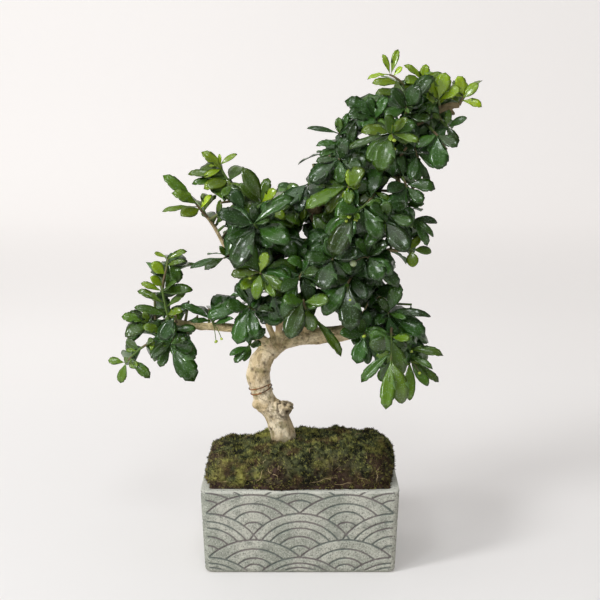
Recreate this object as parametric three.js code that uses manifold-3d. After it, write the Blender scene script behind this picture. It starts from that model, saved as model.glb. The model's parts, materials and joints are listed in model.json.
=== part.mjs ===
// Fukien tea bonsai in a rectangular pot: millimetres, +Z up, -Y is the front.
// The origin is the centre of the pot's underside.
// A scored pot holds a block of soil under a mound of moss. An S-shaped trunk with its branches
// stands in a plain hole in both, and each leafy shoot grows from the wood with a hairline gap.
import * as THREE from 'three';
import { mergeVertices } from 'three/addons/utils/BufferGeometryUtils.js';
import Module from 'manifold-3d';

const wasm = await Module();
wasm.setup();
const { Manifold } = wasm;

// Pot
const potLength = 160;
const potDepth = 110;
const potHeight = 70;
const potDraft = 3;
const potCorner = 6;
const potInnerCorner = 3;
const potFootRound = 2.5;
const potWall = 7;
const potFloor = 8;

// Soil and moss
const soilBelowRim = 8;
const mossHeight = 28;
const mossInset = 4;
const mossCornerPower = 5;
const mossSectors = 32;
const mossWaves = [[7, 1, 1.3], [13, 0, 0.9]];
const mossBackRight = { angle: 0.6, spread: 0.35, reach: 7 };
const mossLeftDip = { x: -48, spread: 22, depth: 0.2 };
const mossLumps = [
  { height: 1.5, alongX: 0.21, alongY: 0.17 },
  { height: 1.1, alongX: 0.43, alongY: 0.31 },
];

// Gap kept between pieces that touch on the real plant
const gap = 0.35;
const leafGap = 4;

// Flat neighbouring faces are joined within this distance
const flatWithin = 0.01;

// Leaves, with arch, fold and rib as shares of the blade's length and width
const leafThickness = 0.9;
const petioleWidth = 0.9;
const leafArch = 0.09;
const leafFold = 0.07;
const leafRib = 0.6;
const grownLeafLength = 21;
const youngLeafLength = 15;
const narrowLeaf = 7.5;
const leafSpacing = 1.5;

// Room that leaves keep to the middle line of wood and stems, past their radius, and its steps
const woodRoom = 2.5;
const stemRoom = 2;
const roomStep = 3;

// Trunk centre line from the buried foot to the pruned end: x, y, z, radius
const trunkLine = [
  [-12, 2, 38, 8.5],
  [-12.5, 2, 82, 10],
  [-14, 2, 98, 10.3],
  [-18.8, 1, 115, 9.4],
  [-29.5, -2, 133, 8],
  [-34.5, -4, 153, 9],
  [-30, -4, 168, 8.3],
  [-17.5, -3, 180.5, 7.5],
  [-1, -2, 185, 6.9],
  [20, -1, 186, 6.6],
  [40, 0, 189, 6.5],
  [55, 2, 199, 6.3],
  [63, 4, 216, 5.9],
  [58, 4, 233, 5.7],
  [46, 3, 250, 5.6],
  [28, 1, 268, 5.4],
  [13, 0, 285, 5.3],
  [17, 0, 301, 5.1],
  [34, 0, 315, 4.8],
  [55, 0, 331, 4.2],
  [76, 0, 349, 3.6],
  [98, 0, 362.5, 3],
  [116, 0, 372, 2.6],
  [127, 0, 373.5, 2.2],
];

// Branches, knots and stubs, each from inside the wood that carries it: x, y, z, radius
const branchLines = {
  lowerLeft: [
    [-23, -4, 176, 4.2],
    [-37, -4, 187, 3.7],
    [-53, -4, 192.5, 3.4],
    [-70, -2, 193.5, 3.2],
    [-84, 0, 193.5, 2.8],
    [-99, 0, 196.5, 2.2],
    [-109, -1, 195, 1.8],
    [-120, -2, 194.5, 1.4],
  ],
  leftTwig: [
    [-20.5, -3, 182, 2.4],
    [-31, -5, 207, 2],
    [-40, -5, 224.5, 1.8],
    [-49, -4, 241, 1.7],
    [-60, -2, 258, 1.5],
    [-69, 0, 275, 1.3],
    [-75, -2, 284, 1.1],
  ],
  leftStem: [
    [-18, -3, 180, 3],
    [-17, -8, 207, 2.5],
    [-24, -10, 236, 2.1],
    [-30.5, -10, 264, 1.8],
    [-31, -8, 284, 1.3],
  ],
  leftTopTwig: [
    [-29.5, -10, 260, 1.7],
    [-41, -7, 283, 1.5],
    [-49, -4, 299, 1.3],
    [-56, -2, 311, 1.1],
  ],
  rightHanger: [
    [67, 0, 342, 2.6],
    [73.5, -8, 328, 1.9],
    [79, -10, 312, 1.6],
    [82, -10, 298, 1.2],
  ],
  lowerRight: [
    [60, 0, 205, 3],
    [70, -10, 207, 2.2],
    [78, -18, 192, 1.7],
    [83, -24, 183, 1.2],
  ],
  rightTwig: [
    [46, 0, 251, 2],
    [69, -5, 257, 1.4],
    [82, -8, 257.5, 1.1],
  ],
  knot: [
    [-25, -1, 128, 5.5],
    [-16, -4, 125, 6.3],
    [-11, -6, 125.5, 6.2],
    [-8.5, -7, 125, 4.8],
  ],
  shoulder: [
    [-31, -3, 130, 5.5],
    [-37, -4, 131, 4.2],
  ],
  cutStub: [
    [5, -2, 186, 4.6],
    [5, -4, 197, 4.1],
    [5, -5, 203, 3.8],
  ],
  tipStub: [
    [118, 0, 372, 1.8],
    [123, -1, 366, 1.2],
  ],
};

// Facets of the wood: a line that starts thicker than a twig has more sides
const trunkSides = 9;
const trunkSteps = 34;
const branchSides = 7;
const twigSides = 5;
const twigRadius = 3.5;
const branchStepsPerPoint = 1.5;

// The wire's two loose turns: share of the trunk's length, turns and thickness
const wireFrom = 0.178;
const wireTo = 0.198;
const wireTurns = 1.9;
const wireRadius = 0.6;
const wireSlack = 0.5;
const wireSides = 4;
const wireFrames = 136;

// Green stems of the shoots, whose reach to the front and back is scaled together
const canopyDepth = 1.35;
const stemRadius = 1.5;
const stemTipRadius = 1.25;
const stemSides = 4;
const stemStep = 16;
const budStalk = 0.6;
const budSwell = 1.15;
const berryRadius = 2;

// Shoots seen from the front. A stem runs from the nearest wood through its points.
// A leaf is: share of the stem, angle in the front view, length, width, lean to the viewer.
// A bud is: share of the stem, its offset in x, y and z, and its radius.
// "behind" is the number of leaves on the far side.
const shoots = [
  {
    name: 'shoot_left_tip',
    stem: [[-110.5, -2, 213], [-112, -4, 227], [-108.5, -6, 242], [-106.8, -6, 251]],
    leaves: [
      [1, 157, 12, 4, 5], [1, 24, 17, 6, 10], [0.86, 15, 17, 5, 20], [0.75, 150, 13, 10, 15],
      [0.62, 168, 12, 8, 30], [0.56, 180, 18, 6, 0], [0.56, -9, 25, 10, 15], [0.42, 176, 21, 7, -5],
      [0.4, 4, 20, 6, 20], [0.3, 192, 25, 8, 10], [0.34, -30, 21, 8, 30], [0.24, -40, 17, 7, 10],
    ],
    behind: 3,
  },
  {
    name: 'shoot_left_fork',
    stem: [[-124, -4, 197], [-129, -7, 199]],
    leaves: [[0.4, 135, 20, 12, 25], [1, 160, 17, 9, 15], [0.6, 205, 22, 12, 35], [0.9, 80, 13, 6, 10]],
    behind: 2,
  },
  {
    name: 'shoot_left_low',
    stem: [[-114, -7, 188], [-130, -12, 178], [-142, -14, 167]],
    leaves: [
      [1, 169, 14, 7, 10], [1, 256, 17, 8, 15], [0.95, -35, 11, 8, 35], [1, -28, 24, 9, 15],
      [0.85, 130, 7, 4, 0], [0.72, 38, 19, 7, 25], [0.66, 8, 13, 5, 40], [0.5, 112, 16, 9, 10],
    ],
    behind: 2,
  },
  {
    name: 'shoot_left_under',
    stem: [[-102, -8, 188], [-106, -16, 181]],
    leaves: [
      [0.9, 25, 16, 7, 20], [1, -50, 35, 18, 20], [1, 245, 18, 9, 20], [0.9, -65, 12, 5, 45],
      [0.5, 18, 18, 7, -10], [1, 205, 19, 10, 40],
    ],
    behind: 1,
  },
  {
    name: 'shoot_left_spur',
    stem: [[-71.5, -7, 200]],
    leaves: [[1, 148, 29, 7, 15], [1, 177, 18, 5, 25], [1, 44, 27, 12, 20], [0.8, 18, 22, 6, 35]],
    buds: [[0.6, 2.5, -7, -14, 1.4], [0.6, 7, -6, -12, 1.3]],
    behind: 2,
  },
  {
    name: 'shoot_left_blades',
    stem: [[-61, -8, 252]],
    leaves: [[1, 195, 29, 6, 10], [1, 207, 20, 7, 30], [1, 110, 11, 5, 15]],
    behind: 2,
  },
  {
    name: 'shoot_inner_left',
    stem: [[-36, -16, 212], [-41, -28, 217]],
    leaves: [
      [1, 192, 34, 11, 10], [1, 172, 21, 13, 35], [1, 253, 31, 15, 20], [1, -77, 27, 12, 25],
      [0.8, 0, 20, 8, 25], [1, 117, 20, 6, 10],
    ],
    behind: 2,
  },
  {
    name: 'shoot_inner_low',
    stem: [[-40, -14, 185], [-41, -26, 184]],
    leaves: [[1, 227, 17, 7, 15], [1, 200, 17, 6, 20], [0.8, 250, 15, 8, 35], [1, 20, 14, 8, 40]],
    behind: 0,
  },
  {
    name: 'shoot_left_high',
    stem: [[-79, -4, 289], [-83.5, -6, 295.5]],
    leaves: [
      [1, 137, 35, 10, 10], [1, 149, 23, 11, 30], [1, 192, 28, 5, 5], [0.95, 212, 19, 12, 45],
      [1, 31, 15, 5, 10],
    ],
    behind: 2,
  },
  {
    name: 'shoot_left_mid',
    stem: [[-67, 3, 278]],
    leaves: [[1, 83, 20, 5, 5], [1, 50, 14, 5, 20], [1, 160, 12, 6, 35], [0.8, -35, 12, 5, 30]],
    behind: 2,
  },
  {
    name: 'shoot_left_top',
    stem: [[-60, -2, 317], [-64.5, -3, 326]],
    leaves: [
      [1, 33, 17, 5, 5], [1, 90, 9, 3, 0], [1, 216, 16, 6, 20], [1, 140, 18, 9, 15],
      [0.9, 190, 27, 7, 10], [0.75, 202, 27, 7, 0], [0.7, 222, 20, 12, 38], [0.5, 207, 20, 10, 15],
    ],
    behind: 2,
  },
  {
    name: 'shoot_left_crown',
    stem: [[-31, -10, 292], [-30.5, -12, 298]],
    leaves: [
      [1, 118, 32, 13, 15], [1, 40, 18, 10, 30], [0.9, 138, 24, 9, 5], [0.9, -30, 24, 10, 25],
      [1, 75, 20, 9, -15],
    ],
    behind: 2,
  },
  {
    name: 'shoot_left_front',
    stem: [[-32, -22, 276], [-35.5, -34, 284]],
    leaves: [
      [1, 36, 38, 12, 10], [1, 19, 15, 8, 25], [1, 161, 31, 15, 20], [0.85, 202, 26, 8, 10],
      [0.9, 242, 37, 18, 20], [0.9, -22, 32, 18, 28], [0.4, -32, 36, 15, 10], [1, 95, 16, 9, 20],
    ],
    behind: 0,
  },
  {
    name: 'shoot_left_face',
    stem: [[-30, -24, 242], [-31, -36, 246]],
    leaves: [
      [1, 72, 19, 9, 20], [1, 172, 23, 10, 20], [1, -34, 24, 10, 15], [1, 260, 21, 10, 20],
      [0.9, -56, 23, 9, 30], [0.8, 215, 20, 10, 20],
    ],
    buds: [[0.9, -8, -5, -3, 1.4], [0.9, -10, -3, 1, 1.2]],
    behind: 1,
  },
  {
    name: 'shoot_centre_left',
    stem: [[12, -14, 262], [4, -26, 248], [-1.5, -35, 240]],
    leaves: [
      [0.75, -74, 25, 13, 20], [1, 249, 33, 12, 15], [0.6, -62, 22, 7, 0], [1, 205, 22, 11, 25],
      [0.9, 20, 20, 11, 35], [0.8, 130, 18, 10, 25],
    ],
    behind: 2,
  },
  {
    name: 'shoot_centre_low',
    stem: [[12, -16, 203], [5, -36, 217], [2.5, -43, 226]],
    leaves: [
      [1, 248, 32, 17, 20], [0.55, -52, 42, 8, 10], [1, 168, 24, 12, 25], [1, 5, 22, 12, 25],
      [0.8, -70, 22, 12, 30],
    ],
    behind: 0,
  },
  {
    name: 'shoot_centre',
    stem: [[30, -16, 261], [25, -36, 256]],
    leaves: [
      [1, 249, 28, 18, 28], [1, 20, 24, 13, 25], [1, 172, 22, 12, 20], [1, 105, 20, 12, 20],
      [0.8, -45, 21, 11, 35],
    ],
    behind: 0,
  },
  {
    name: 'shoot_centre_face',
    stem: [[43, -18, 243], [37, -38, 238]],
    leaves: [
      [1, 230, 31, 15, 15], [1, -86, 37, 19, 22], [0.8, -50, 22, 13, 35], [0.5, -75, 30, 12, 5],
      [1, 165, 20, 11, 30],
    ],
    buds: [[1, -1, -6, -14, 1.3], [1, 2, -6, -12, 1.2]],
    behind: 0,
  },
  {
    name: 'shoot_right_face',
    stem: [[53, -16, 253], [53.5, -34, 258]],
    leaves: [
      [1, -60, 22, 15, 30], [1, -33, 22, 12, 15], [0.85, -42, 34, 12, 0], [0.5, -64, 28, 9, -10],
      [1, 125, 18, 10, 20], [1, 40, 20, 12, 20],
    ],
    buds: [[0.95, -12, -4, -4, 2.9]],
    behind: 0,
  },
  {
    name: 'shoot_crown_mid',
    stem: [[37, -14, 312], [38, -30, 312]],
    leaves: [
      [1, 92, 14, 6, 10], [1, 56, 22, 16, 38], [1, 250, 12, 5, 10], [0.9, 230, 27, 9, 10],
      [1, 268, 15, 9, 35], [1, 204, 38, 12, 12],
    ],
    behind: 0,
  },
  {
    name: 'shoot_crown_hanging',
    stem: [[54, -12, 319], [57.5, -24, 306.5], [50, -32, 298], [40.5, -38, 293]],
    leaves: [
      [0.45, 222, 17, 8, 30], [0.5, -22, 15, 6, 15], [1, 244, 37, 18, 15], [0.85, -55, 29, 15, 22],
      [0.95, 175, 20, 10, 25],
    ],
    buds: [
      [1, -6, -3, 1, 1.5], [1, -3, -7, -2, 1.6], [0.97, -6, -5, -6, 1.5], [0.94, 0, -5, -6, 1.5],
    ],
    behind: 0,
  },
  {
    name: 'shoot_crown_left_tip',
    stem: [[36, -4, 334], [32.5, -5, 344], [31, -6, 351.5]],
    leaves: [
      [1, 170, 26, 5, 5], [1, 92, 13, 7, 10], [1, 65, 18, 6, 0], [0.75, 190, 20, 6, 15],
      [0.68, 210, 20, 7, 0], [0.55, 62, 24, 10, 20],
    ],
    behind: 2,
  },
  {
    name: 'shoot_crown_left',
    stem: [[35, -12, 329], [30, -24, 333]],
    leaves: [
      [1, 184, 18, 7, 10], [1, 217, 30, 12, 20], [1, 275, 20, 11, 30], [1, -20, 20, 12, 30],
      [1, 70, 19, 11, 25],
    ],
    behind: 0,
  },
  {
    name: 'shoot_crown_front',
    stem: [[72, -12, 350], [70.5, -26, 353]],
    leaves: [
      [1, 174, 25, 11, 20], [1, 110, 20, 13, 42], [1, -15, 23, 8, 15], [0.85, 198, 36, 7, 0],
      [1, 45, 18, 9, 20],
    ],
    buds: [
      [1, 2, -5, -5, 1.5], [0.9, -3, -5, -8, 1.6], [0.8, 2, -5, -11, 1.5], [0.7, -2, -3, -14, 1.5],
    ],
    behind: 0,
  },
  {
    name: 'shoot_crown_left_top',
    stem: [[62, -3, 354], [58.5, -8, 364]],
    leaves: [[1, 148, 27, 14, 10], [1, 172, 25, 13, 32], [1, 60, 20, 10, 15], [1, 105, 17, 9, 0]],
    behind: 2,
  },
  {
    name: 'shoot_crown_tip',
    stem: [[85, 2, 371], [82, 1, 389], [76, 0, 395], [71, 0, 397.5]],
    leaves: [
      [1, 190, 18, 4, 5], [1, 109, 17, 5, 5], [1, 72, 21, 6, 0], [0.62, 184, 23, 8, 15],
      [0.52, 196, 25, 8, 25], [1, 30, 12, 5, 15],
    ],
    behind: 2,
  },
  {
    name: 'shoot_crown_high',
    stem: [[84, -8, 364], [83, -20, 373]],
    leaves: [
      [1, 62, 22, 15, 35], [1, 52, 31, 13, 5], [1, 200, 20, 11, 20], [1, 132, 20, 12, 20],
      [0.8, -18, 22, 12, 30],
    ],
    behind: 0,
  },
  {
    name: 'shoot_crown_high_right',
    stem: [[98.5, 5, 377], [98.5, 8, 392]],
    leaves: [[1, 138, 20, 6, 5], [1, 176, 17, 10, 25], [0.7, 50, 23, 13, 20], [1, 80, 14, 8, 5]],
    behind: 2,
  },
  {
    name: 'shoot_crown_right',
    stem: [[108.5, -14, 378.5]],
    leaves: [[1, 78, 22, 13, 15], [0.8, 162, 14, 10, 38], [1, 30, 20, 11, 25], [1, 125, 18, 10, 10]],
    behind: 1,
  },
  {
    name: 'shoot_crown_end',
    stem: [[130.5, 0, 381]],
    leaves: [[1, 110, 17, 10, 15], [1, 164, 17, 8, 20], [1, 42, 15, 9, 15], [1, -30, 17, 8, 20]],
    behind: 2,
  },
  {
    name: 'shoot_right_twig',
    stem: [[112, -4, 362], [117, -8, 356.5]],
    leaves: [[1, 29, 17, 7, 15], [1, 88, 14, 6, 10], [0.7, 145, 13, 6, 20], [1, -60, 16, 8, 15]],
    behind: 2,
  },
  {
    name: 'shoot_right_drop',
    stem: [[103, -12, 356], [107, -22, 351]],
    leaves: [[1, -88, 27, 16, 20], [1, 205, 20, 9, 20], [1, -28, 19, 11, 30]],
    behind: 0,
  },
  {
    name: 'shoot_right_mid',
    stem: [[89, -7, 344], [93, -16, 333]],
    leaves: [
      [1, 268, 18, 8, 10], [1, -69, 23, 6, 0], [1, 248, 20, 10, 30], [1, -20, 22, 12, 25],
      [0.85, 172, 20, 11, 30],
    ],
    behind: 2,
  },
  {
    name: 'shoot_right_inner',
    stem: [[81, -15, 318], [84, -22, 310]],
    leaves: [[0.6, 97, 20, 8, 5], [1, -42, 18, 11, 30], [1, 12, 22, 12, 20], [1, 185, 20, 12, 25]],
    behind: 1,
  },
  {
    name: 'shoot_right_low',
    stem: [[73, -17, 304], [66, -32, 285]],
    leaves: [
      [1, -50, 31, 18, 20], [1, 230, 31, 15, 20], [1, 90, 18, 11, 20], [1, 150, 24, 13, 25],
      [1, -3, 22, 12, 15],
    ],
    behind: 0,
  },
  {
    name: 'shoot_right_out',
    stem: [[85, -10, 290], [90, -10, 283]],
    leaves: [
      [1, -3, 20, 7, 10], [1, -35, 22, 6, 25], [1, -58, 24, 8, 10], [0.5, 28, 16, 9, 20],
      [1, 250, 20, 10, 20],
    ],
    behind: 2,
  },
  {
    name: 'shoot_right_end',
    stem: [[90.5, -11, 259]],
    leaves: [[1, -6, 16, 8, 15], [1, 270, 14, 10, 20], [1, 60, 13, 7, 10]],
    behind: 2,
  },
  {
    name: 'shoot_low_right',
    stem: [[70, -24, 211]],
    leaves: [
      [1, 120, 15, 8, 10], [1, 69, 25, 12, 15], [1, 0, 34, 7, 15], [1, -10, 18, 6, 40],
      [1, -31, 35, 15, 10], [0.9, 215, 15, 9, 30],
    ],
    behind: 0,
  },
  {
    name: 'shoot_low_right_tip',
    stem: [[85.5, -28, 177], [87.5, -31, 173.5]],
    leaves: [
      [1, -34, 28, 7, 10], [1, -52, 24, 9, 20], [1, 269, 31, 9, 15], [0.4, 2, 29, 8, 10],
      [0.8, -14, 21, 6, 30],
    ],
    buds: [[1, 7, -6, -8, 1.4], [0.6, 2, -5, 6, 1.3]],
    behind: 2,
  },
  {
    name: 'shoot_low_right_hanging',
    stem: [[73, -26, 199], [71.5, -38, 192], [71, -45, 178]],
    leaves: [
      [0.6, -78, 32, 16, 12], [1, -74, 34, 15, 15], [1, 262, 38, 12, 25], [0.95, 215, 30, 9, 15],
      [0.7, 20, 17, 8, 30],
    ],
    behind: 0,
  },
  {
    name: 'shoot_low_centre',
    stem: [[50, -20, 195], [51, -36, 197]],
    leaves: [
      [1, 253, 24, 13, 20], [1, -84, 24, 9, 5], [1, 172, 22, 12, 25], [1, 110, 16, 9, 20],
    ],
    buds: [[1, -1, -7, 0, 1.4]],
    behind: 0,
  },
];

// Shoots on the far side: the stem's points and the number of leaves all round
const farShoots = [
  { name: 'shoot_far_top', stem: [[62, 18, 353], [59, 34, 359]], around: 6 },
  { name: 'shoot_far_crown', stem: [[27, 20, 326], [23, 36, 335]], around: 6 },
  { name: 'shoot_far_end', stem: [[100, 14, 369], [102, 28, 374]], around: 6 },
  { name: 'shoot_far_right', stem: [[84, 18, 340], [90, 36, 332]], around: 6 },
  { name: 'shoot_far_left', stem: [[2, 18, 288], [-6, 36, 292]], around: 6 },
  { name: 'shoot_far_mid', stem: [[34, 26, 300], [42, 44, 297]], around: 6 },
  { name: 'shoot_far_side', stem: [[66, 22, 256], [72, 38, 266]], around: 6 },
  { name: 'shoot_far_centre', stem: [[22, 22, 258], [11, 40, 252]], around: 6 },
  { name: 'shoot_far_inner', stem: [[-36, 12, 258], [-43, 32, 263]], around: 6 },
  { name: 'shoot_far_low', stem: [[54, 22, 222], [46, 40, 227]], around: 6 },
  { name: 'shoot_far_bottom', stem: [[-30, 12, 203], [-38, 30, 213]], around: 6 },
];

const radians = THREE.MathUtils.degToRad;

// A fixed draw between 0 and 1 for each whole number
function draw(n) {
  const value = Math.sin(n * 12.9898) * 43758.5453;
  return value - Math.floor(value);
}

// Turns a closed three.js geometry into a solid, without the empty triangles at a pole
function solid(geometry) {
  const bare = new THREE.BufferGeometry();
  bare.setAttribute('position', geometry.attributes.position.clone());
  bare.setIndex(geometry.index);
  const merged = mergeVertices(bare, 1e-4);
  const faces = [];
  for (let i = 0; i < merged.index.count; i += 3) {
    const [a, b, c] = merged.index.array.slice(i, i + 3);
    if (a !== b && b !== c && c !== a) {
      faces.push(a, b, c);
    }
  }
  return new Manifold(new wasm.Mesh({
    numProp: 3,
    vertProperties: new Float32Array(merged.attributes.position.array),
    triVerts: new Uint32Array(faces),
  }));
}

// Turns a solid back into a named mesh
function mesh(name, body, material) {
  const result = body.getMesh();
  const geometry = new THREE.BufferGeometry();
  geometry.setAttribute('position', new THREE.BufferAttribute(result.vertProperties, 3));
  geometry.setIndex(new THREE.BufferAttribute(result.triVerts, 1));
  geometry.computeVertexNormals();
  const named = new THREE.Mesh(geometry, material);
  named.name = name;
  return named;
}

// The largest body of a solid, without loose scraps
function largest(body) {
  const bodies = body.decompose();
  return bodies.reduce((best, next) => (next.volume() > best.volume() ? next : best));
}

function smoothCurve(points) {
  return new THREE.CatmullRomCurve3(points, false, 'catmullrom', 0.5);
}

function curveThrough(line) {
  return smoothCurve(line.map(([x, y, z]) => new THREE.Vector3(x, y, z)));
}

// Radius at a share of the curve's points, read between the listed radii
function radiusAlong(radii, share) {
  const place = share * (radii.length - 1);
  const before = Math.min(Math.floor(place), radii.length - 2);
  return THREE.MathUtils.lerp(radii[before], radii[before + 1], place - before);
}

// A closed round tube along a curve: a cylinder bent onto it, with its own radius at each step.
// A grown tube is that much thicker and longer at each end.
function tube(curve, radii, sides, steps, grown = 0) {
  const shape = new THREE.CylinderGeometry(1, 1, 1, sides, steps);
  const position = shape.attributes.position;
  const frames = transportedFrames(curve, steps);
  frames[0].centre.addScaledVector(frames[0].along, -grown);
  frames[steps].centre.addScaledVector(frames[steps].along, grown);
  const point = new THREE.Vector3();
  for (let i = 0; i < position.count; i += 1) {
    const step = Math.round((0.5 - position.getY(i)) * steps);
    const frame = frames[step];
    const radius = radiusAlong(radii, step / steps) + grown;
    point.copy(frame.centre);
    point.addScaledVector(frame.across, position.getX(i) * radius);
    point.addScaledVector(frame.over, position.getZ(i) * radius);
    position.setXYZ(i, point.x, point.y, point.z);
  }
  return shape;
}

// Frames that follow the curve without twisting
function transportedFrames(curve, steps) {
  const frames = [];
  const start = curve.getTangent(0);
  let across = new THREE.Vector3(0, 1, 0).cross(start).normalize();
  if (Math.abs(start.y) > 0.9) {
    across = new THREE.Vector3(1, 0, 0).cross(start).normalize();
  }
  for (let step = 0; step <= steps; step += 1) {
    const centre = curve.getPoint(step / steps);
    const along = curve.getTangent(step / steps);
    across = across.clone().addScaledVector(along, -across.dot(along)).normalize();
    const over = new THREE.Vector3().crossVectors(along, across);
    frames.push({ centre, along, across, over });
  }
  return frames;
}

// Half width of a leaf at a share of its length, as a share of its half width
const leafOutline = [[0, 0.1], [0.26, 0.4], [0.64, 1], [0.93, 0.7], [1, 0.05]];

function halfWidth(share) {
  let i = 1;
  while (leafOutline[i][0] < share) {
    i += 1;
  }
  const [fromShare, fromWidth] = leafOutline[i - 1];
  const [toShare, toWidth] = leafOutline[i];
  return THREE.MathUtils.lerp(fromWidth, toWidth, (share - fromShare) / (toShare - fromShare));
}

// A point of an arched leaf: share of its length, share of its half width, height off the blade
function leafPoint(leaf, share, across, height = 0) {
  const arch = leaf.length * leafArch * 4 * share * (1 - share);
  const fold = leaf.width * leafFold * (Math.abs(across) * 2 - 1) * Math.min(1, share * 3);
  const point = leaf.base.clone();
  point.addScaledVector(leaf.along, leaf.length * share);
  point.addScaledVector(leaf.side, leaf.width * 0.5 * across);
  point.addScaledVector(leaf.normal, arch + fold + height);
  return point;
}

// A leaf grown from its own place on the stem to a tip measured from the shoot's point, with its
// blade facing as near as it can to the given way
function placedLeaf(curve, share, place, way, facing, length, width) {
  const base = curve.getPoint(Math.max(0.1, share - (place * leafSpacing) / curve.getLength()));
  const reach = curve.getPoint(share).addScaledVector(way, length).sub(base);
  const along = reach.clone().normalize();
  const normal = facing.clone().addScaledVector(along, -facing.dot(along)).normalize();
  const side = new THREE.Vector3().crossVectors(along, normal);
  return { base, along, normal, side, length: reach.length(), width };
}

// A leaf seen from the front: turned in the view's plane and leaning to the viewer
function frontLeaf(curve, place, [share, turn, length, width, lean], bend) {
  const angle = radians(turn + bend[0]);
  const tip = radians(lean + bend[1]);
  const way = new THREE.Vector3(
    Math.cos(angle) * Math.cos(tip),
    -Math.sin(tip),
    Math.sin(angle) * Math.cos(tip),
  );
  return placedLeaf(curve, share, place, way, new THREE.Vector3(0, -0.8, 0.55), length, width);
}

// A leaf set by its bearing round the shoot and its rise above level
function roundLeaf(curve, place, [share, bearing, length, width, rise], bend) {
  const angle = radians(bearing + bend[0]);
  const tip = radians(rise + bend[1]);
  const way = new THREE.Vector3(
    Math.cos(angle) * Math.cos(tip),
    Math.sin(angle) * Math.cos(tip),
    Math.sin(tip),
  );
  const facing = new THREE.Vector3(0.5 * Math.cos(angle), 0.5 * Math.sin(angle), 0.8);
  return placedLeaf(curve, share, place, way, facing, length, width);
}

// Leaves that the front view doesn't give: a spread of lengths, shares of width, and rises, over
// a part of the stem
const behindLeaves = { length: 19, longer: 9, lowest: -25, swing: 60, stem: 0.5 };
const aroundLeaves = { length: 20, longer: 11, lowest: -35, swing: 75, stem: 0.55 };
const drawnWidth = { slim: 0.45, wider: 0.08 };
const behindFan = { middle: 90, spread: 150, swing: 30 };
const goldenTurn = 137.5;

function drawnLeaf(kind, share, bearing, n) {
  const length = kind.length + kind.longer * draw(n + 1);
  const width = length * (drawnWidth.slim + drawnWidth.wider * draw(n + 3));
  return [share, bearing, length, width, kind.lowest + kind.swing * draw(n + 4)];
}

// The leaves on the far side of a shoot seen from the front, as round leaves
function leavesBehind(shootNumber, count) {
  return Array.from({ length: count }, (_, k) => {
    const n = shootNumber * 40 + k * 5;
    const share = 1 - behindLeaves.stem * ((k + 1) / (count + 1));
    const fan = behindFan.spread * ((k + 0.5) / count - 0.5);
    const bearing = behindFan.middle + fan + behindFan.swing * (draw(n + 2) - 0.5);
    return drawnLeaf(behindLeaves, share, bearing, n);
  });
}

// The leaves all round a far shoot, a golden angle apart
function leavesAround(shootNumber, count) {
  return Array.from({ length: count }, (_, k) => {
    const n = shootNumber * 40 + k * 5;
    const share = 1 - aroundLeaves.stem * (k / count);
    const bearing = goldenTurn * k + 360 * draw(n) / count;
    return drawnLeaf(aroundLeaves, share, bearing, n);
  });
}

// Leaves keep clear of other shoots: a crowded leaf takes the first of these bends that is free
const bends = [
  [0, 0], [0, 12], [0, -12], [10, 6], [-10, 6], [10, -10], [-10, -10], [0, 26], [0, -26],
  [20, 16], [-20, 16], [20, -18], [-20, -18], [32, 0], [-32, 0],
];
const shrinks = [1, 0.8, 0.62];
const sampleShares = [0.3, 0.5, 0.7, 0.88];
const sampleSides = [-0.85, 0, 0.85];

function leafSamples(leaf) {
  const samples = [leafPoint(leaf, 1, 0)];
  for (const share of sampleShares) {
    for (const side of sampleSides) {
      samples.push(leafPoint(leaf, share, side * halfWidth(share)));
    }
  }
  return samples;
}

// Points that leaves keep away from, each with its owner and reach
const occupied = [];

function isFree(samples, owner) {
  return !occupied.some((other) => other.owner !== owner
    && samples.some((point) => point.distanceTo(other.point) < other.reach));
}

function occupyTube(curve, radii, owner, extra) {
  const steps = Math.ceil(curve.getLength() / roomStep);
  for (let i = 0; i <= steps; i += 1) {
    const reach = radiusAlong(radii, i / steps) + extra;
    occupied.push({ point: curve.getPoint(i / steps), owner, reach });
  }
}

function settleLeaf(makeLeaf, row, shoot) {
  const place = shoot.placed.length;
  for (const shrink of shrinks) {
    const smaller = [row[0], row[1], row[2] * shrink, row[3] * shrink, row[4]];
    for (const bend of bends) {
      const leaf = makeLeaf(shoot.curve, place, smaller, bend);
      const samples = leafSamples(leaf);
      if (isFree(samples, shoot.name)) {
        occupied.push(...samples.map((point) => ({ point, owner: shoot.name, reach: leafGap })));
        shoot.placed.push(leaf);
        return;
      }
    }
  }
}

// A leaf's rim from the petiole's right side round the tip to its left side. A grown leaf has
// three small teeth at its tip, and a young one is plain.
const toothedRim = [
  [0.26, 0.4], [0.64, 1], [0.93, 0.7], [0.9, 0.38], [1, 0],
  [0.9, -0.38], [0.93, -0.7], [0.64, -1], [0.26, -0.4],
];
const plainRim = [[0.26, 0.4], [0.64, 1], [0.93, 0.6], [1, 0], [0.93, -0.6], [0.64, -1], [0.26, -0.4]];
const youngRim = [[0.3, 0.45], [0.72, 1], [1, 0], [0.72, -1], [0.3, -0.45]];

function rimOf(leaf) {
  if (leaf.length > grownLeafLength) {
    return toothedRim;
  }
  return leaf.length > youngLeafLength ? plainRim : youngRim;
}

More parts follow.
